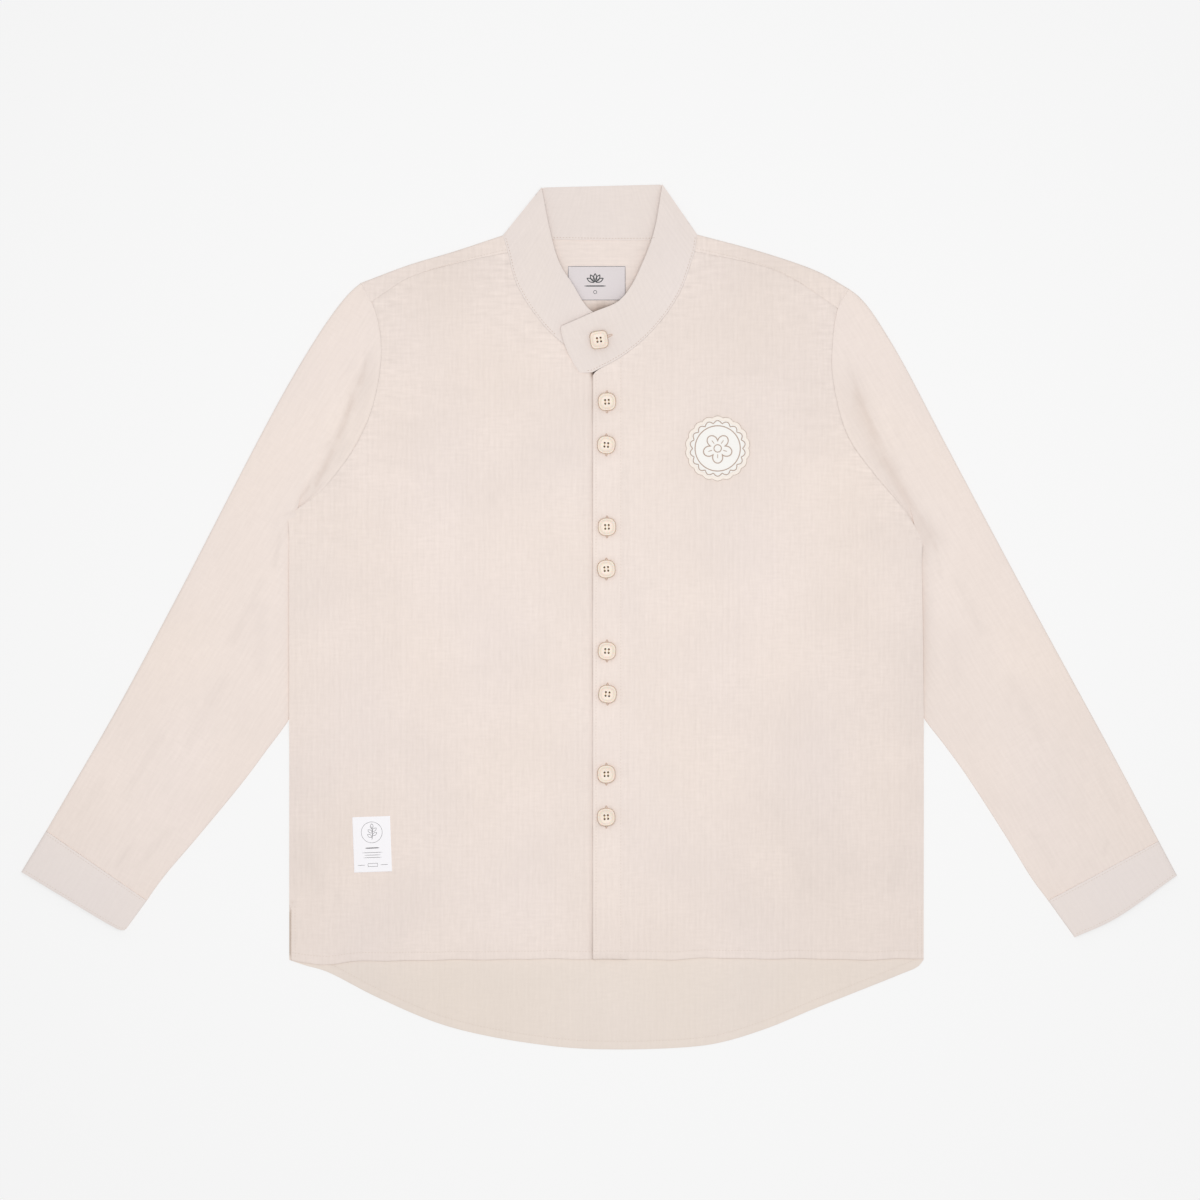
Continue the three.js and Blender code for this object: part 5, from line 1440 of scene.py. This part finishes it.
class ShirtTrim(bpy.types.PropertyGroup):
    """Sizes and colours of the buttons, the patch and the labels."""

    button_size: length_property("Button", "Width of a button", 0.0165, 0.014, 0.018)
    button: colour_property("Buttons", "Colour of the buttons", "#f6e6d6")
    button_thread: colour_property("Button thread", "Colour of the thread through the buttons", "#d8bd92")
    # a dark brown that paints the shadow seen in the buttons' holes
    shank: colour_property("Button shank", "Colour of the thread seen in the buttons' holes", "#5a4530")
    # painted brown shade on the buttons' lower rim
    button_rim: colour_property("Button rim", "Colour of the buttons' brown back layer", "#b08d6a")
    patch: colour_property("Patch", "Colour of the patch's satin ground", "#f8f6f2")
    patch_edge: colour_property("Patch edge", "Colour of the patch's scalloped border", "#faf0e6")
    patch_line: colour_property("Patch line", "Colour of the patch's embroidered lines", "#c0aa9c")
    hem_label: colour_property("Hem label", "Colour of the hem label", "#fdfbfe")
    neck_label: colour_property("Neck label", "Colour of the neck label", "#e3dbdc")
    print_line: colour_property("Print", "Colour of the hem label's marks", "#5f5c60")
    neck_print: colour_property("Neck print", "Colour of the neck label's marks", "#45494a")
    buttonhole: colour_property("Buttonholes", "Colour of the buttonholes' thread", "#d8c0b0")


class ShirtStage(bpy.types.PropertyGroup):
    """The floor and the light."""

    floor: colour_property("Floor", "Colour of the floor", "#f6f6f6")
    fill: FloatProperty(
        name="Fill light", description="Strength of the even light", default=0.66, min=0, max=4
    )
    key: FloatProperty(
        name="Softbox", description="Power of the softbox over the shirt", default=6.8, min=0, max=100,
        subtype="POWER", unit="POWER",
    )
    lens: FloatProperty(
        name="Lens", description="Focal length of the camera", default=200, min=50, max=400,
        subtype="DISTANCE_CAMERA",
    )


def tones(colour, by):
    """A colour and its darker neighbour."""
    light = tuple(colour)
    return light, (light[0] * by, light[1] * by * 0.995, light[2] * by * 0.99, 1.0)


def cloth_material(settings, name, colour, contrast=1.0):
    """Cotton in one of the shirt's colours."""
    return cotton(name, tuple(colour), settings.stripe * MM_IN_METRE, settings.crinkle, contrast)


def lay_cloth(name, build, cloth, material, fineness=1.0, **shape):
    """One sheet of cloth, named after its node, with its thickness and grid in millimetres."""
    thickness, step = cloth.thickness * MM_IN_METRE, cloth.grid * MM_IN_METRE * fineness
    mesh = build(f"cloth_{name}", cloth=thickness, step=step, **shape)
    wear(f"cloth_{name}", mesh, material, name)


# Operators


class PieceOperator:
    """What every operator here shares."""

    bl_options = {"REGISTER", "UNDO"}

    def execute(self, context):
        self.make(context, context.scene.shirt_cloth, context.scene.shirt_trim)
        return {"FINISHED"}


class SHIRT_OT_back(PieceOperator, bpy.types.Operator):
    """Lay the back on the surface, with its rounded tail"""

    bl_idname = "shirt.back"
    bl_label = "Back"

    def make(self, context, cloth, trim):
        material = cloth_material(cloth, "slubbed_cotton_back", cloth.back, 0.6)
        lay_cloth("back", back_mesh, cloth, material, 1.25)


class SHIRT_OT_yoke(PieceOperator, bpy.types.Operator):
    """Lay the yoke over both shoulders"""

    bl_idname = "shirt.yoke"
    bl_label = "Yoke"

    def make(self, context, cloth, trim):
        material = cloth_material(cloth, "slubbed_cotton_yoke", cloth.body)
        lay_cloth("yoke", yoke_mesh, cloth, material)


class SHIRT_OT_fronts(PieceOperator, bpy.types.Operator):
    """Lay the two fronts, the left one over the right"""

    bl_idname = "shirt.fronts"
    bl_label = "Fronts"

    def make(self, context, cloth, trim):
        material = cloth_material(cloth, "slubbed_cotton_front", cloth.body)
        lay_cloth("front_right", front_mesh, cloth, material, half=RIGHT, edge=UNDER_EDGE, over=False)
        lay_cloth("front_left", front_mesh, cloth, material, half=LEFT, edge=OVER_EDGE, over=True)


class SHIRT_OT_sleeves(PieceOperator, bpy.types.Operator):
    """Lay the sleeves and their cuffs"""

    bl_idname = "shirt.sleeves"
    bl_label = "Sleeves and cuffs"

    def make(self, context, cloth, trim):
        material = cloth_material(cloth, "slubbed_cotton_sleeve", cloth.sleeve, 0.65)
        cuff_material = cloth_material(cloth, "slubbed_cotton_cuff", cloth.cuff, 0.35)
        for side, half in (("right", RIGHT), ("left", LEFT)):
            lay_cloth(f"sleeve_{side}", sleeve_mesh, cloth, material, half=half)
            lay_cloth(f"cuff_{side}", cuff_mesh, cloth, cuff_material, half=half)


class SHIRT_OT_collar(PieceOperator, bpy.types.Operator):
    """Lay the band collar with its lapped tab"""

    bl_idname = "shirt.collar"
    bl_label = "Collar"

    def make(self, context, cloth, trim):
        material = cloth_material(cloth, "slubbed_cotton_collar", cloth.collar, 0.7)
        lay_cloth("collar", collar_mesh, cloth, material, 0.85)


def seated(name, plan):
    """A line in plan, laid on a piece, without the places where it isn't met."""
    z = seats(name, plan)
    return level(plan, z + STITCH_LIFT)[z > 0.3]


def upright(x, low, high, parts):
    """A straight line up the plan."""
    return np.stack([np.full(parts, x), np.linspace(low, high, parts)], -1)


def left_of(way):
    """A direction turned left by a quarter."""
    return np.stack([-way[:, 1], way[:, 0]], -1)


def stitched_lines():
    """Every row of stitches: the piece it lies on, and its line in plan."""
    s = np.linspace(0.002, 0.998, 220)
    rows = []
    for side, half, edge in (("right", RIGHT, UNDER_EDGE), ("left", LEFT, OVER_EDGE)):
        front, cuff_name, sign = f"cloth_front_{side}", f"cloth_cuff_{side}", half["outward"]
        foot = half["side"].at(0.0)
        line = mix(np.array([edge, HEM]), foot + np.array([0, HEM]), s)
        line[:, 1] += hem_wave(line[:, 0], np.full(len(s), HEM))
        rows.append((front, line))
        rows += [(front, upright(foot[0] - sign * inset, 2, SLIT, 60)) for inset in SLIT_ROWS]
        seam = half["yoke_seam"]
        rows.append(("cloth_yoke", seam.at(s) - left_of(seam.direction(s)) * sign * YOKE_ROW))
        cuff = cuff_surface(half)
        for share in (CUFF_SEAM_ROW / CUFF_DEPTH, 1 - CUFF_END_ROW / CUFF_DEPTH):
            rows.append((cuff_name, cuff(0.02 + 0.96 * s, np.full(len(s), share))))
    rows.append(("cloth_front_left", upright(OVER_EDGE + STAND_WIDTH, 1, 553, 400)))
    rows.append(("cloth_front_left", upright(OVER_EDGE + STAND_ROW, 1, 540, 400)))
    hem = Edge(TAIL_HEM)
    rows.append(("cloth_back", hem.at(s) + left_of(hem.direction(s)) * HEM))
    over, under = collar_band()
    for (seam, _, free), start, reach, width in (
        (over, 0.04, 0.94, BAND_WIDTH), (under, 0.02, 0.58, BAND_WIDTH_UNDER)
    ):
        inset = np.full(len(s), COLLAR_ROW / width)
        rows.append(("cloth_collar", band_plan(seam, free.at, start + reach * s, inset)))
    rows.append(("cloth_collar", Edge(BACK_NECK).at(0.255 + 0.53 * s) + np.array([0, COLLAR_ROW])))
    return rows


def squared(wave):
    """A wave with flatter tops: its sign times its size to the power of 0.35."""
    return np.sign(wave) * np.abs(wave) ** 0.35


class SHIRT_OT_stitching(PieceOperator, bpy.types.Operator):
    """Sew the rows of stitches and the buttonholes"""

    bl_idname = "shirt.stitching"
    bl_label = "Stitching"

    def make(self, context, cloth, trim):
        rows = {"neck_stitching": [], "stitching": []}
        for name, plan in stitched_lines():
            line = seated(name, plan)
            if len(line) > 3:
                rows["neck_stitching" if name == "cloth_collar" else "stitching"].append(line)
        for name, colour in (("neck_stitching", cloth.neck_thread), ("stitching", cloth.thread)):
            sew(name, [run_stitches(rows[name])], name + "_thread", colour)
        self.buttonholes(trim)

    def buttonholes(self, trim):
        """Each buttonhole is a long ring of close satin stitches: a cord round a slot 20 mm long."""
        turn = full_turn(64)
        front_slot = np.stack([np.cos(turn), 10.2 * squared(np.sin(turn))], -1)
        collar_slot = turned(np.stack([2.5 + 10.5 * squared(np.cos(turn)), np.sin(turn)], -1), 22)
        slots = [("cloth_front_left", front_slot + centre) for centre in FRONT_BUTTONS]
        slots.append(("cloth_collar", collar_slot + COLLAR_BUTTON))
        parts = [cord(level(slot, seats(name, slot) + 0.05), 0.9, 0.3, closed=True) for name, slot in slots]
        sew("buttonholes", parts, "buttonhole_thread", trim.buttonhole)


def button_rings(squareness, width):
    """A button as points and triangles: its profile's rings, rounded squares by a power of cos and sin."""
    rings = np.array(BUTTON_PROFILE) * (width / BUTTON_WIDTH)
    around = 56
    turn = full_turn(around)
    power = (np.abs(np.cos(turn)) ** squareness + np.abs(np.sin(turn)) ** squareness) ** (-1 / squareness)
    corner = 1 + (power - 1) * np.clip(rings[:, :1] / 8, 0, 1)
    plan = circle(rings[:, :1] * corner, rings[:, :1] * corner, turn)
    grid = level(plan, rings[:, 1:])[1:-1]
    count = len(grid)
    points = np.vstack([grid.reshape(-1, 3), [[0, 0, rings[0, 1]], [0, 0, rings[-1, 1]]]])
    low, high = count * around, count * around + 1
    k = np.arange(around)
    n = (k + 1) % around
    top = (count - 1) * around
    caps = [
        np.stack([np.full(around, low), n, k], -1),
        np.stack([np.full(around, high), top + k, top + n], -1),
    ]
    quads = ring_quads(count, around)
    return points, np.vstack([quads[:, [0, 1, 2]], quads[:, [0, 2, 3]], *caps])


def drill_bar(x, y, sides=14):
    """A round bar through a hole, as points and triangles."""
    ring = np.array([x, y]) + circle(HOLE_RADIUS, HOLE_RADIUS, full_turn(sides))
    low, high = -1.0, 5.0
    points = np.vstack([level(ring, low), level(ring, high), [[x, y, low], [x, y, high]]])
    k = np.arange(sides)
    n = (k + 1) % sides
    foot, head = np.full(sides, 2 * sides), np.full(sides, 2 * sides + 1)
    return points, np.vstack([
        np.stack([k, n, n + sides], -1), np.stack([k, n + sides, k + sides], -1),
        np.stack([foot, n, k], -1), np.stack([head, k + sides, n + sides], -1),
    ])


def drilled_button(squareness, width):
    """A button with four holes cut through it, in millimetres about its middle."""
    points, faces = button_rings(squareness, width)
    blank = bpy.data.objects.new("blank", new_mesh("blank", points, outward(points, faces)))
    holes = [(HOLE_PLACE, HOLE_PLACE), (-HOLE_PLACE, HOLE_PLACE)]
    holes += [(-x, -y) for x, y in holes]
    drill = bpy.data.objects.new("drill", new_mesh("drill", *gathered([drill_bar(x, y) for x, y in holes])))
    for obj in (blank, drill):
        bpy.context.scene.collection.objects.link(obj)
    cut = blank.modifiers.new("holes", "BOOLEAN")
    cut.operation, cut.object, cut.solver = "DIFFERENCE", drill, "EXACT"
    graph = bpy.context.evaluated_depsgraph_get()
    made = bpy.data.meshes.new_from_object(blank.evaluated_get(graph))
    for obj in (blank, drill):
        bpy.data.objects.remove(obj)
    return made


def placed_button(made, place, base, degrees, squareness, width):
    """Turns a button, moves it to its place, and marks its rim."""
    points = np.empty(len(made.vertices) * 3, np.float32)
    made.vertices.foreach_get("co", points)
    points = points.reshape(-1, 3)
    spots = level(turned(points[:, :2], degrees), points[:, 2]) + np.array([*place, base])
    made.vertices.foreach_set("co", to_frame(spots).astype(np.float32).ravel())
    made.update()
    # the rim's lower edge, which gets the painted brown shade
    reach = (np.abs(points[:, 0]) ** squareness + np.abs(points[:, 1]) ** squareness) ** (1 / squareness)
    rim = (reach > 0.47 * width) * smooth(0.167 * width - points[:, 2], 0, 0.6)
    made.attributes.new("rim", "FLOAT", "POINT").data.foreach_set("value", rim.astype(np.float32))
    made.shade_smooth()
    made.set_sharp_from_angle(angle=math.radians(BUTTON_ANGLE))
    made.materials.clear()


class SHIRT_OT_buttons(PieceOperator, bpy.types.Operator):
    """Sew on the nine buttons with their threads"""

    bl_idname = "shirt.buttons"
    bl_label = "Buttons"

    def make(self, context, cloth, trim):
        light, dark = tones(trim.button, 0.93)
        material = resin("cast_resin", light, dark, tuple(trim.button_rim))
        width = trim.button_size * MM_IN_METRE
        spots = [("button_collar", COLLAR_BUTTON, "cloth_collar", 4.0, 8.0)]
        for k, (place, degrees) in enumerate(zip(FRONT_BUTTONS, BUTTON_TURNS), 1):
            spots.append((f"button_{k}", place, "cloth_front_left", 2.6, degrees))
        threads, shanks = [], []
        for name, place, carrier, squareness, degrees in spots:
            under = circle(6, 6, full_turn(12)) + place
            base = float(np.percentile(seats(carrier, under), 75)) + 0.45
            made = drilled_button(squareness, width)
            placed_button(made, place, base, degrees, squareness, width)
            wear(f"resin_{name}", made, material, name)
            threads += self.bars(place, base, degrees)
            shanks += self.shank(place, base)
        sew("button_threads", threads, "button_thread", trim.button_thread)
        # the shank thread is dark brown, painted shadow seen through the holes
        sew("button_shanks", shanks, "shank_thread", trim.shank)

    def bars(self, place, base, degrees):
        """Thread through the holes: two bars across the dish."""
        share = np.linspace(-1, 1, 11)
        height = base + 1.95 + 0.25 * (1 - share**4) - 1.1 * smooth(np.abs(share), 0.62, 1)
        lines = [np.stack([np.full(11, x), share * 1.6], -1) for x in (-HOLE_PLACE, HOLE_PLACE)]
        return [cord(level(turned(line, degrees) + place, height), 0.5, 0.22) for line in lines]

    def shank(self, place, base):
        """Thread wound under the button."""
        ring = circle(1.8, 1.8, full_turn(16)) + place
        return [cord(level(ring, base + height), 2.6, 0.3, closed=True) for height in (-0.35, 0.0)]


def scalloped(radius, depth, count, parts=240):
    """A circle with lobes: r = radius − depth·(1 − |sin(count·angle/2)|)."""
    turn = full_turn(parts)
    reach = radius - depth * (1 - np.abs(np.sin(count * turn / 2)))
    return circle(reach, reach, turn)


class SHIRT_OT_patch(PieceOperator, bpy.types.Operator):
    """Sew the embroidered patch on the left chest"""

    bl_idname = "shirt.patch"
    bl_label = "Chest patch"

    def make(self, context, cloth, trim):
        centre = np.array([PATCH["x"], PATCH["y"]])
        u, v = np.meshgrid(np.linspace(-1, 1, 77), np.linspace(-1, 1, 77))
        share = np.maximum(np.abs(u), np.abs(v))
        turn = np.arctan2(v, u)
        lobes = PATCH["depth"] * (1 - np.abs(np.sin(PATCH["scallops"] * turn / 2))) * smooth(share, 0.6, 0.95)
        reach = share * (PATCH["radius"] - lobes)
        local = circle(reach, reach, turn)
        plan = local + centre
        raised = 0.5 * smooth(share, 0.76, 0.83) * (1 - 0.7 * smooth(share, 0.95, 1))
        seat = seats("cloth_front_left", plan) + 0.15
        top = seat + 0.65 + raised + 0.05 * ripples(plan[..., 0], plan[..., 1], 3.0, 91)
        mesh = shell("patch_ground", level(plan, top), level(plan, seat), local)
        material = satin("patch_satin", *tones(trim.patch, 0.96))
        wear("patch_ground", mesh, material, "chest_patch")
        self.cords(centre, trim)

    def cords(self, centre, trim):
        """Satin-stitched lines: a border at the edge, a wavy line, a ring and a five-petalled flower."""
        radius, depth, scallops = PATCH["radius"], PATCH["depth"], PATCH["scallops"]

        def laid(plan, wide, high, closed=True):
            spots = plan + centre
            return cord(level(spots, seats("patch_ground", spots)), wide, high, closed=closed)

        border = laid(scalloped(radius - 2.0, depth, scallops), 3.0, 0.45)
        sew("patch_border", [border], "border_thread", trim.patch_edge)
        turn = full_turn(200)
        petals = 6.5 + 7.0 * np.abs(np.sin(2.5 * turn)) ** 0.7
        lines = [
            laid(scalloped(radius - 0.4, depth, scallops), 0.6, 0.3),
            laid(scalloped(25.6, 2.6, scallops), 0.95, 0.35),
            laid(scalloped(20.8, 0.0, 12), 1.0, 0.35),
            laid(np.stack([petals * np.sin(turn), petals * np.cos(turn)], -1), 1.0, 0.35),
            laid(scalloped(3.4, 0.0, 12, 48), 0.9, 0.35),
        ]
        along = np.linspace(5.2, 9.2, 8)
        for k in range(5):
            angle = 2 * np.pi * (k + 0.5) / 5
            lines.append(laid(np.stack([along * np.sin(angle), along * np.cos(angle)], -1), 0.7, 0.3, False))
        sew("patch_lines", lines, "line_thread", trim.patch_line)


def label_sheet(name, label, carrier, material, node):
    """A label: a flat grid laid on what carries it, 0.4 mm thick, its edge turned under."""
    width, height = label["width"], label["height"]
    u, v = np.meshgrid(places(width, 1.6) - 0.5, places(height, 1.6) - 0.5)
    local = np.stack([u * width, v * height], -1)
    plan = turned(local, label["turn"]) + np.array([label["x"], label["y"]])
    seat = seats(carrier, plan)
    smoothed = np.maximum(seat, np.median(seat) - 0.8) + 0.08
    rim = np.minimum(width / 2 - np.abs(local[..., 0]), height / 2 - np.abs(local[..., 1]))
    top = smoothed + 0.45 + 0.2 * smooth(rim, 0, 0.8) - groove(rim - 2.0, 0.12, 0.5)
    wear(name, shell(name, level(plan, top), level(plan, smoothed), local), material, node)


def label_marks(name, label, carrier, lines, colour):
    """Flat woven lines on a label: each is a table of points, its width, and whether it closes."""
    parts = []
    for local, wide, closed in lines:
        plan = turned(np.asarray(local, float), label["turn"]) + np.array([label["x"], label["y"]])
        parts.append(cord(level(plan, seats(carrier, plan) + 0.01), wide, 0.07, 6, closed))
    sew(name, parts, name + "_thread", colour)


def straight(x0, y0, x1, y1, parts=8):
    """Even points of a straight line."""
    return mix((x0, y0), (x1, y1), np.linspace(0, 1, parts))


def box_line(x, y, wide, high):
    """Points round a box, given its middle and half its width and height."""
    corners = [(x - wide, y - high), (x + wide, y - high), (x + wide, y + high), (x - wide, y + high)]
    sides = [straight(*corners[k], *corners[(k + 1) % 4], 10)[:-1] for k in range(4)]
    return np.vstack(sides)


def leaf(x, y, length, wide, degrees):
    """A leaf's outline: along t its half width is wide·sin(πt)."""
    t = np.linspace(0, 1, 24)
    half_width = wide * np.sin(np.pi * t)
    one_side, other = (np.stack([sign * half_width, t * length], -1) for sign in (1, -1))
    local = np.vstack([one_side, other[::-1][1:-1]])
    return turned(local, degrees) + np.array([x, y])


class SHIRT_OT_labels(PieceOperator, bpy.types.Operator):
    """Sew on the hem label and the neck label"""

    bl_idname = "shirt.labels"
    bl_label = "Labels"

    def make(self, context, cloth, trim):
        white = satin("white_satin_tape", *tones(trim.hem_label, 0.965))
        label_sheet(
            "satin_hem_label", HEM_LABEL, "cloth_front_right", white, "hem_label"
        )
        lines = [(scalloped(9.6, 0, 12, 60) + np.array([0, 11.0]), 0.3, True)]
        lines.append((straight(-6.5, -3.4, 6.5, -3.4), 0.9, False))
        for y, reach in ((-7.6, 9.5), (-9.9, 7.5), (-12.2, 8.6)):
            lines.append((straight(-reach, y, reach, y), 0.35, False))
        stem = np.stack([0.6 * np.sin(np.linspace(0, 3, 14)), np.linspace(4.0, 16.5, 14)], -1)
        lines.append((stem, 0.4, False))
        leaves = ((0.1, 6.5, 58), (0.4, 8.0, -58), (0.5, 10.4, 52), (0.5, 11.8, -52), (0.2, 14.0, 0))
        lines += [(leaf(x, y, 5.0, 1.25, turn), 0.35, True) for x, y, turn in leaves]
        lines.append((box_line(0, -19.0, 4.4, 1.4), 0.3, True))
        lines.append((straight(-14, -19.0, -7, -19.0), 0.35, False))
        lines.append((straight(7, -19.0, 14, -19.0), 0.35, False))
        label_marks("hem_label_marks", HEM_LABEL, "satin_hem_label", lines, trim.print_line)

        grey = satin("grey_satin_tape", *tones(trim.neck_label, 0.96))
        label_sheet("satin_neck_label", NECK_LABEL, "cloth_yoke", grey, "neck_label")
        lines = []
        for k in range(5):
            angle = math.radians(-60 + 30 * k)
            spot = (-1.5 + 1.2 * math.sin(angle), 0.2 + 1.2 * math.cos(angle))
            lines.append((leaf(*spot, 7.4, 1.5, -math.degrees(angle)), 0.9, True))
        lines.append((straight(-11.5, -2.6, 8.5, -2.6), 1.1, False))
        lines.append((scalloped(1.5, 0, 12, 24) + np.array([-1.5, -8.2]), 0.45, True))
        reach = [NECK_LABEL[size] / 2 - 0.4 for size in ("width", "height")]
        lines.append((box_line(0, 0, *reach), 0.35, True))
        label_marks("neck_label_marks", NECK_LABEL, "satin_neck_label", lines, trim.neck_print)


class SHIRT_OT_stage(PieceOperator, bpy.types.Operator):
    """Set the floor, the lights and the camera"""

    bl_idname = "shirt.stage"
    bl_label = "Floor, light and camera"

    def make(self, context, cloth, trim):
        stage = context.scene.shirt_stage
        corners = np.array([(-1, -1), (1, -1), (1, 1), (-1, 1)]) * FLOOR_REACH
        mesh = new_mesh("floor", level(corners, FLOOR_HEIGHT), np.array([[0, 1, 2, 3]]))
        floor = bpy.data.objects.new("floor", mesh)
        context.scene.collection.objects.link(floor)
        # a light table: most of its brightness is its own, so the cloth hardly shades it
        material, _, _ = new_material("light_table", {
            "Base Color": (0.3, 0.3, 0.3, 1), "Roughness": 0.95, "Specular IOR Level": 0.0,
            "Emission Color": tuple(stage.floor), "Emission Strength": 0.705,
        })
        mesh.materials.append(material)

        world = bpy.data.worlds.new("studio")
        context.scene.world = world
        world.use_nodes = True
        fill = world.node_tree.nodes["Background"].inputs
        fill["Color"].default_value = (1, 1, 1, 1)
        fill["Strength"].default_value = stage.fill

        light = bpy.data.lights.new("softbox", "AREA")
        light.size = SOFTBOX_SIZE
        light.energy = stage.key
        box = bpy.data.objects.new("softbox", light)
        box.location = tuple(to_frame(SOFTBOX_PLACE))
        context.scene.collection.objects.link(box)

        data = bpy.data.cameras.new("camera")
        data.type = "PERSP"
        data.sensor_width = SENSOR
        data.lens = stage.lens
        camera = bpy.data.objects.new("camera", data)
        context.scene.collection.objects.link(camera)
        context.scene.camera = camera
        # the photo's pixels span the picture at the height of the cloth
        x, y = (PHOTO_SIZE / 2 - PHOTO_ORIGIN[0]), (PHOTO_ORIGIN[1] - PHOTO_SIZE / 2)
        middle = to_frame((x * PHOTO_SCALE, y * PHOTO_SCALE, CLOTH_HEIGHT))
        far = PHOTO_SIZE * PHOTO_SCALE / MM_IN_METRE * stage.lens / data.sensor_width
        camera.location = (middle[0], middle[1], middle[2] + far)
        data.clip_start, data.clip_end = 0.1, 50
        context.scene.view_settings.view_transform = "Standard"
        context.scene.view_settings.look = "None"


STEPS = (
    SHIRT_OT_back, SHIRT_OT_yoke, SHIRT_OT_fronts, SHIRT_OT_sleeves, SHIRT_OT_collar, SHIRT_OT_stitching,
    SHIRT_OT_buttons, SHIRT_OT_patch, SHIRT_OT_labels, SHIRT_OT_stage,
)


class SHIRT_PT_panel(bpy.types.Panel):
    """Lists the shirt's pieces"""

    bl_idname = "SHIRT_PT_panel"
    bl_label = "Shirt"
    bl_space_type = "VIEW_3D"
    bl_region_type = "UI"
    bl_category = "Shirt"

    def draw(self, context):
        for group in (context.scene.shirt_cloth, context.scene.shirt_trim, context.scene.shirt_stage):
            box = self.layout.box()
            for key in group.bl_rna.properties.keys():
                if key not in ("rna_type", "name"):
                    box.prop(group, key)
        for step in STEPS:
            self.layout.operator(step.bl_idname)


GROUPS = {"shirt_cloth": ShirtCloth, "shirt_trim": ShirtTrim, "shirt_stage": ShirtStage}


def register():
    for name, group in GROUPS.items():
        bpy.utils.register_class(group)
        setattr(bpy.types.Scene, name, PointerProperty(type=group))
    for cls in (*STEPS, SHIRT_PT_panel):
        bpy.utils.register_class(cls)


def unregister():
    for cls in reversed((*STEPS, SHIRT_PT_panel)):
        bpy.utils.unregister_class(cls)
    for name, group in GROUPS.items():
        delattr(bpy.types.Scene, name)
        bpy.utils.unregister_class(group)


def main():
    register()
    for step in STEPS:
        area, name = step.bl_idname.split(".")
        getattr(getattr(bpy.ops, area), name)()


if __name__ == "__main__":
    main()
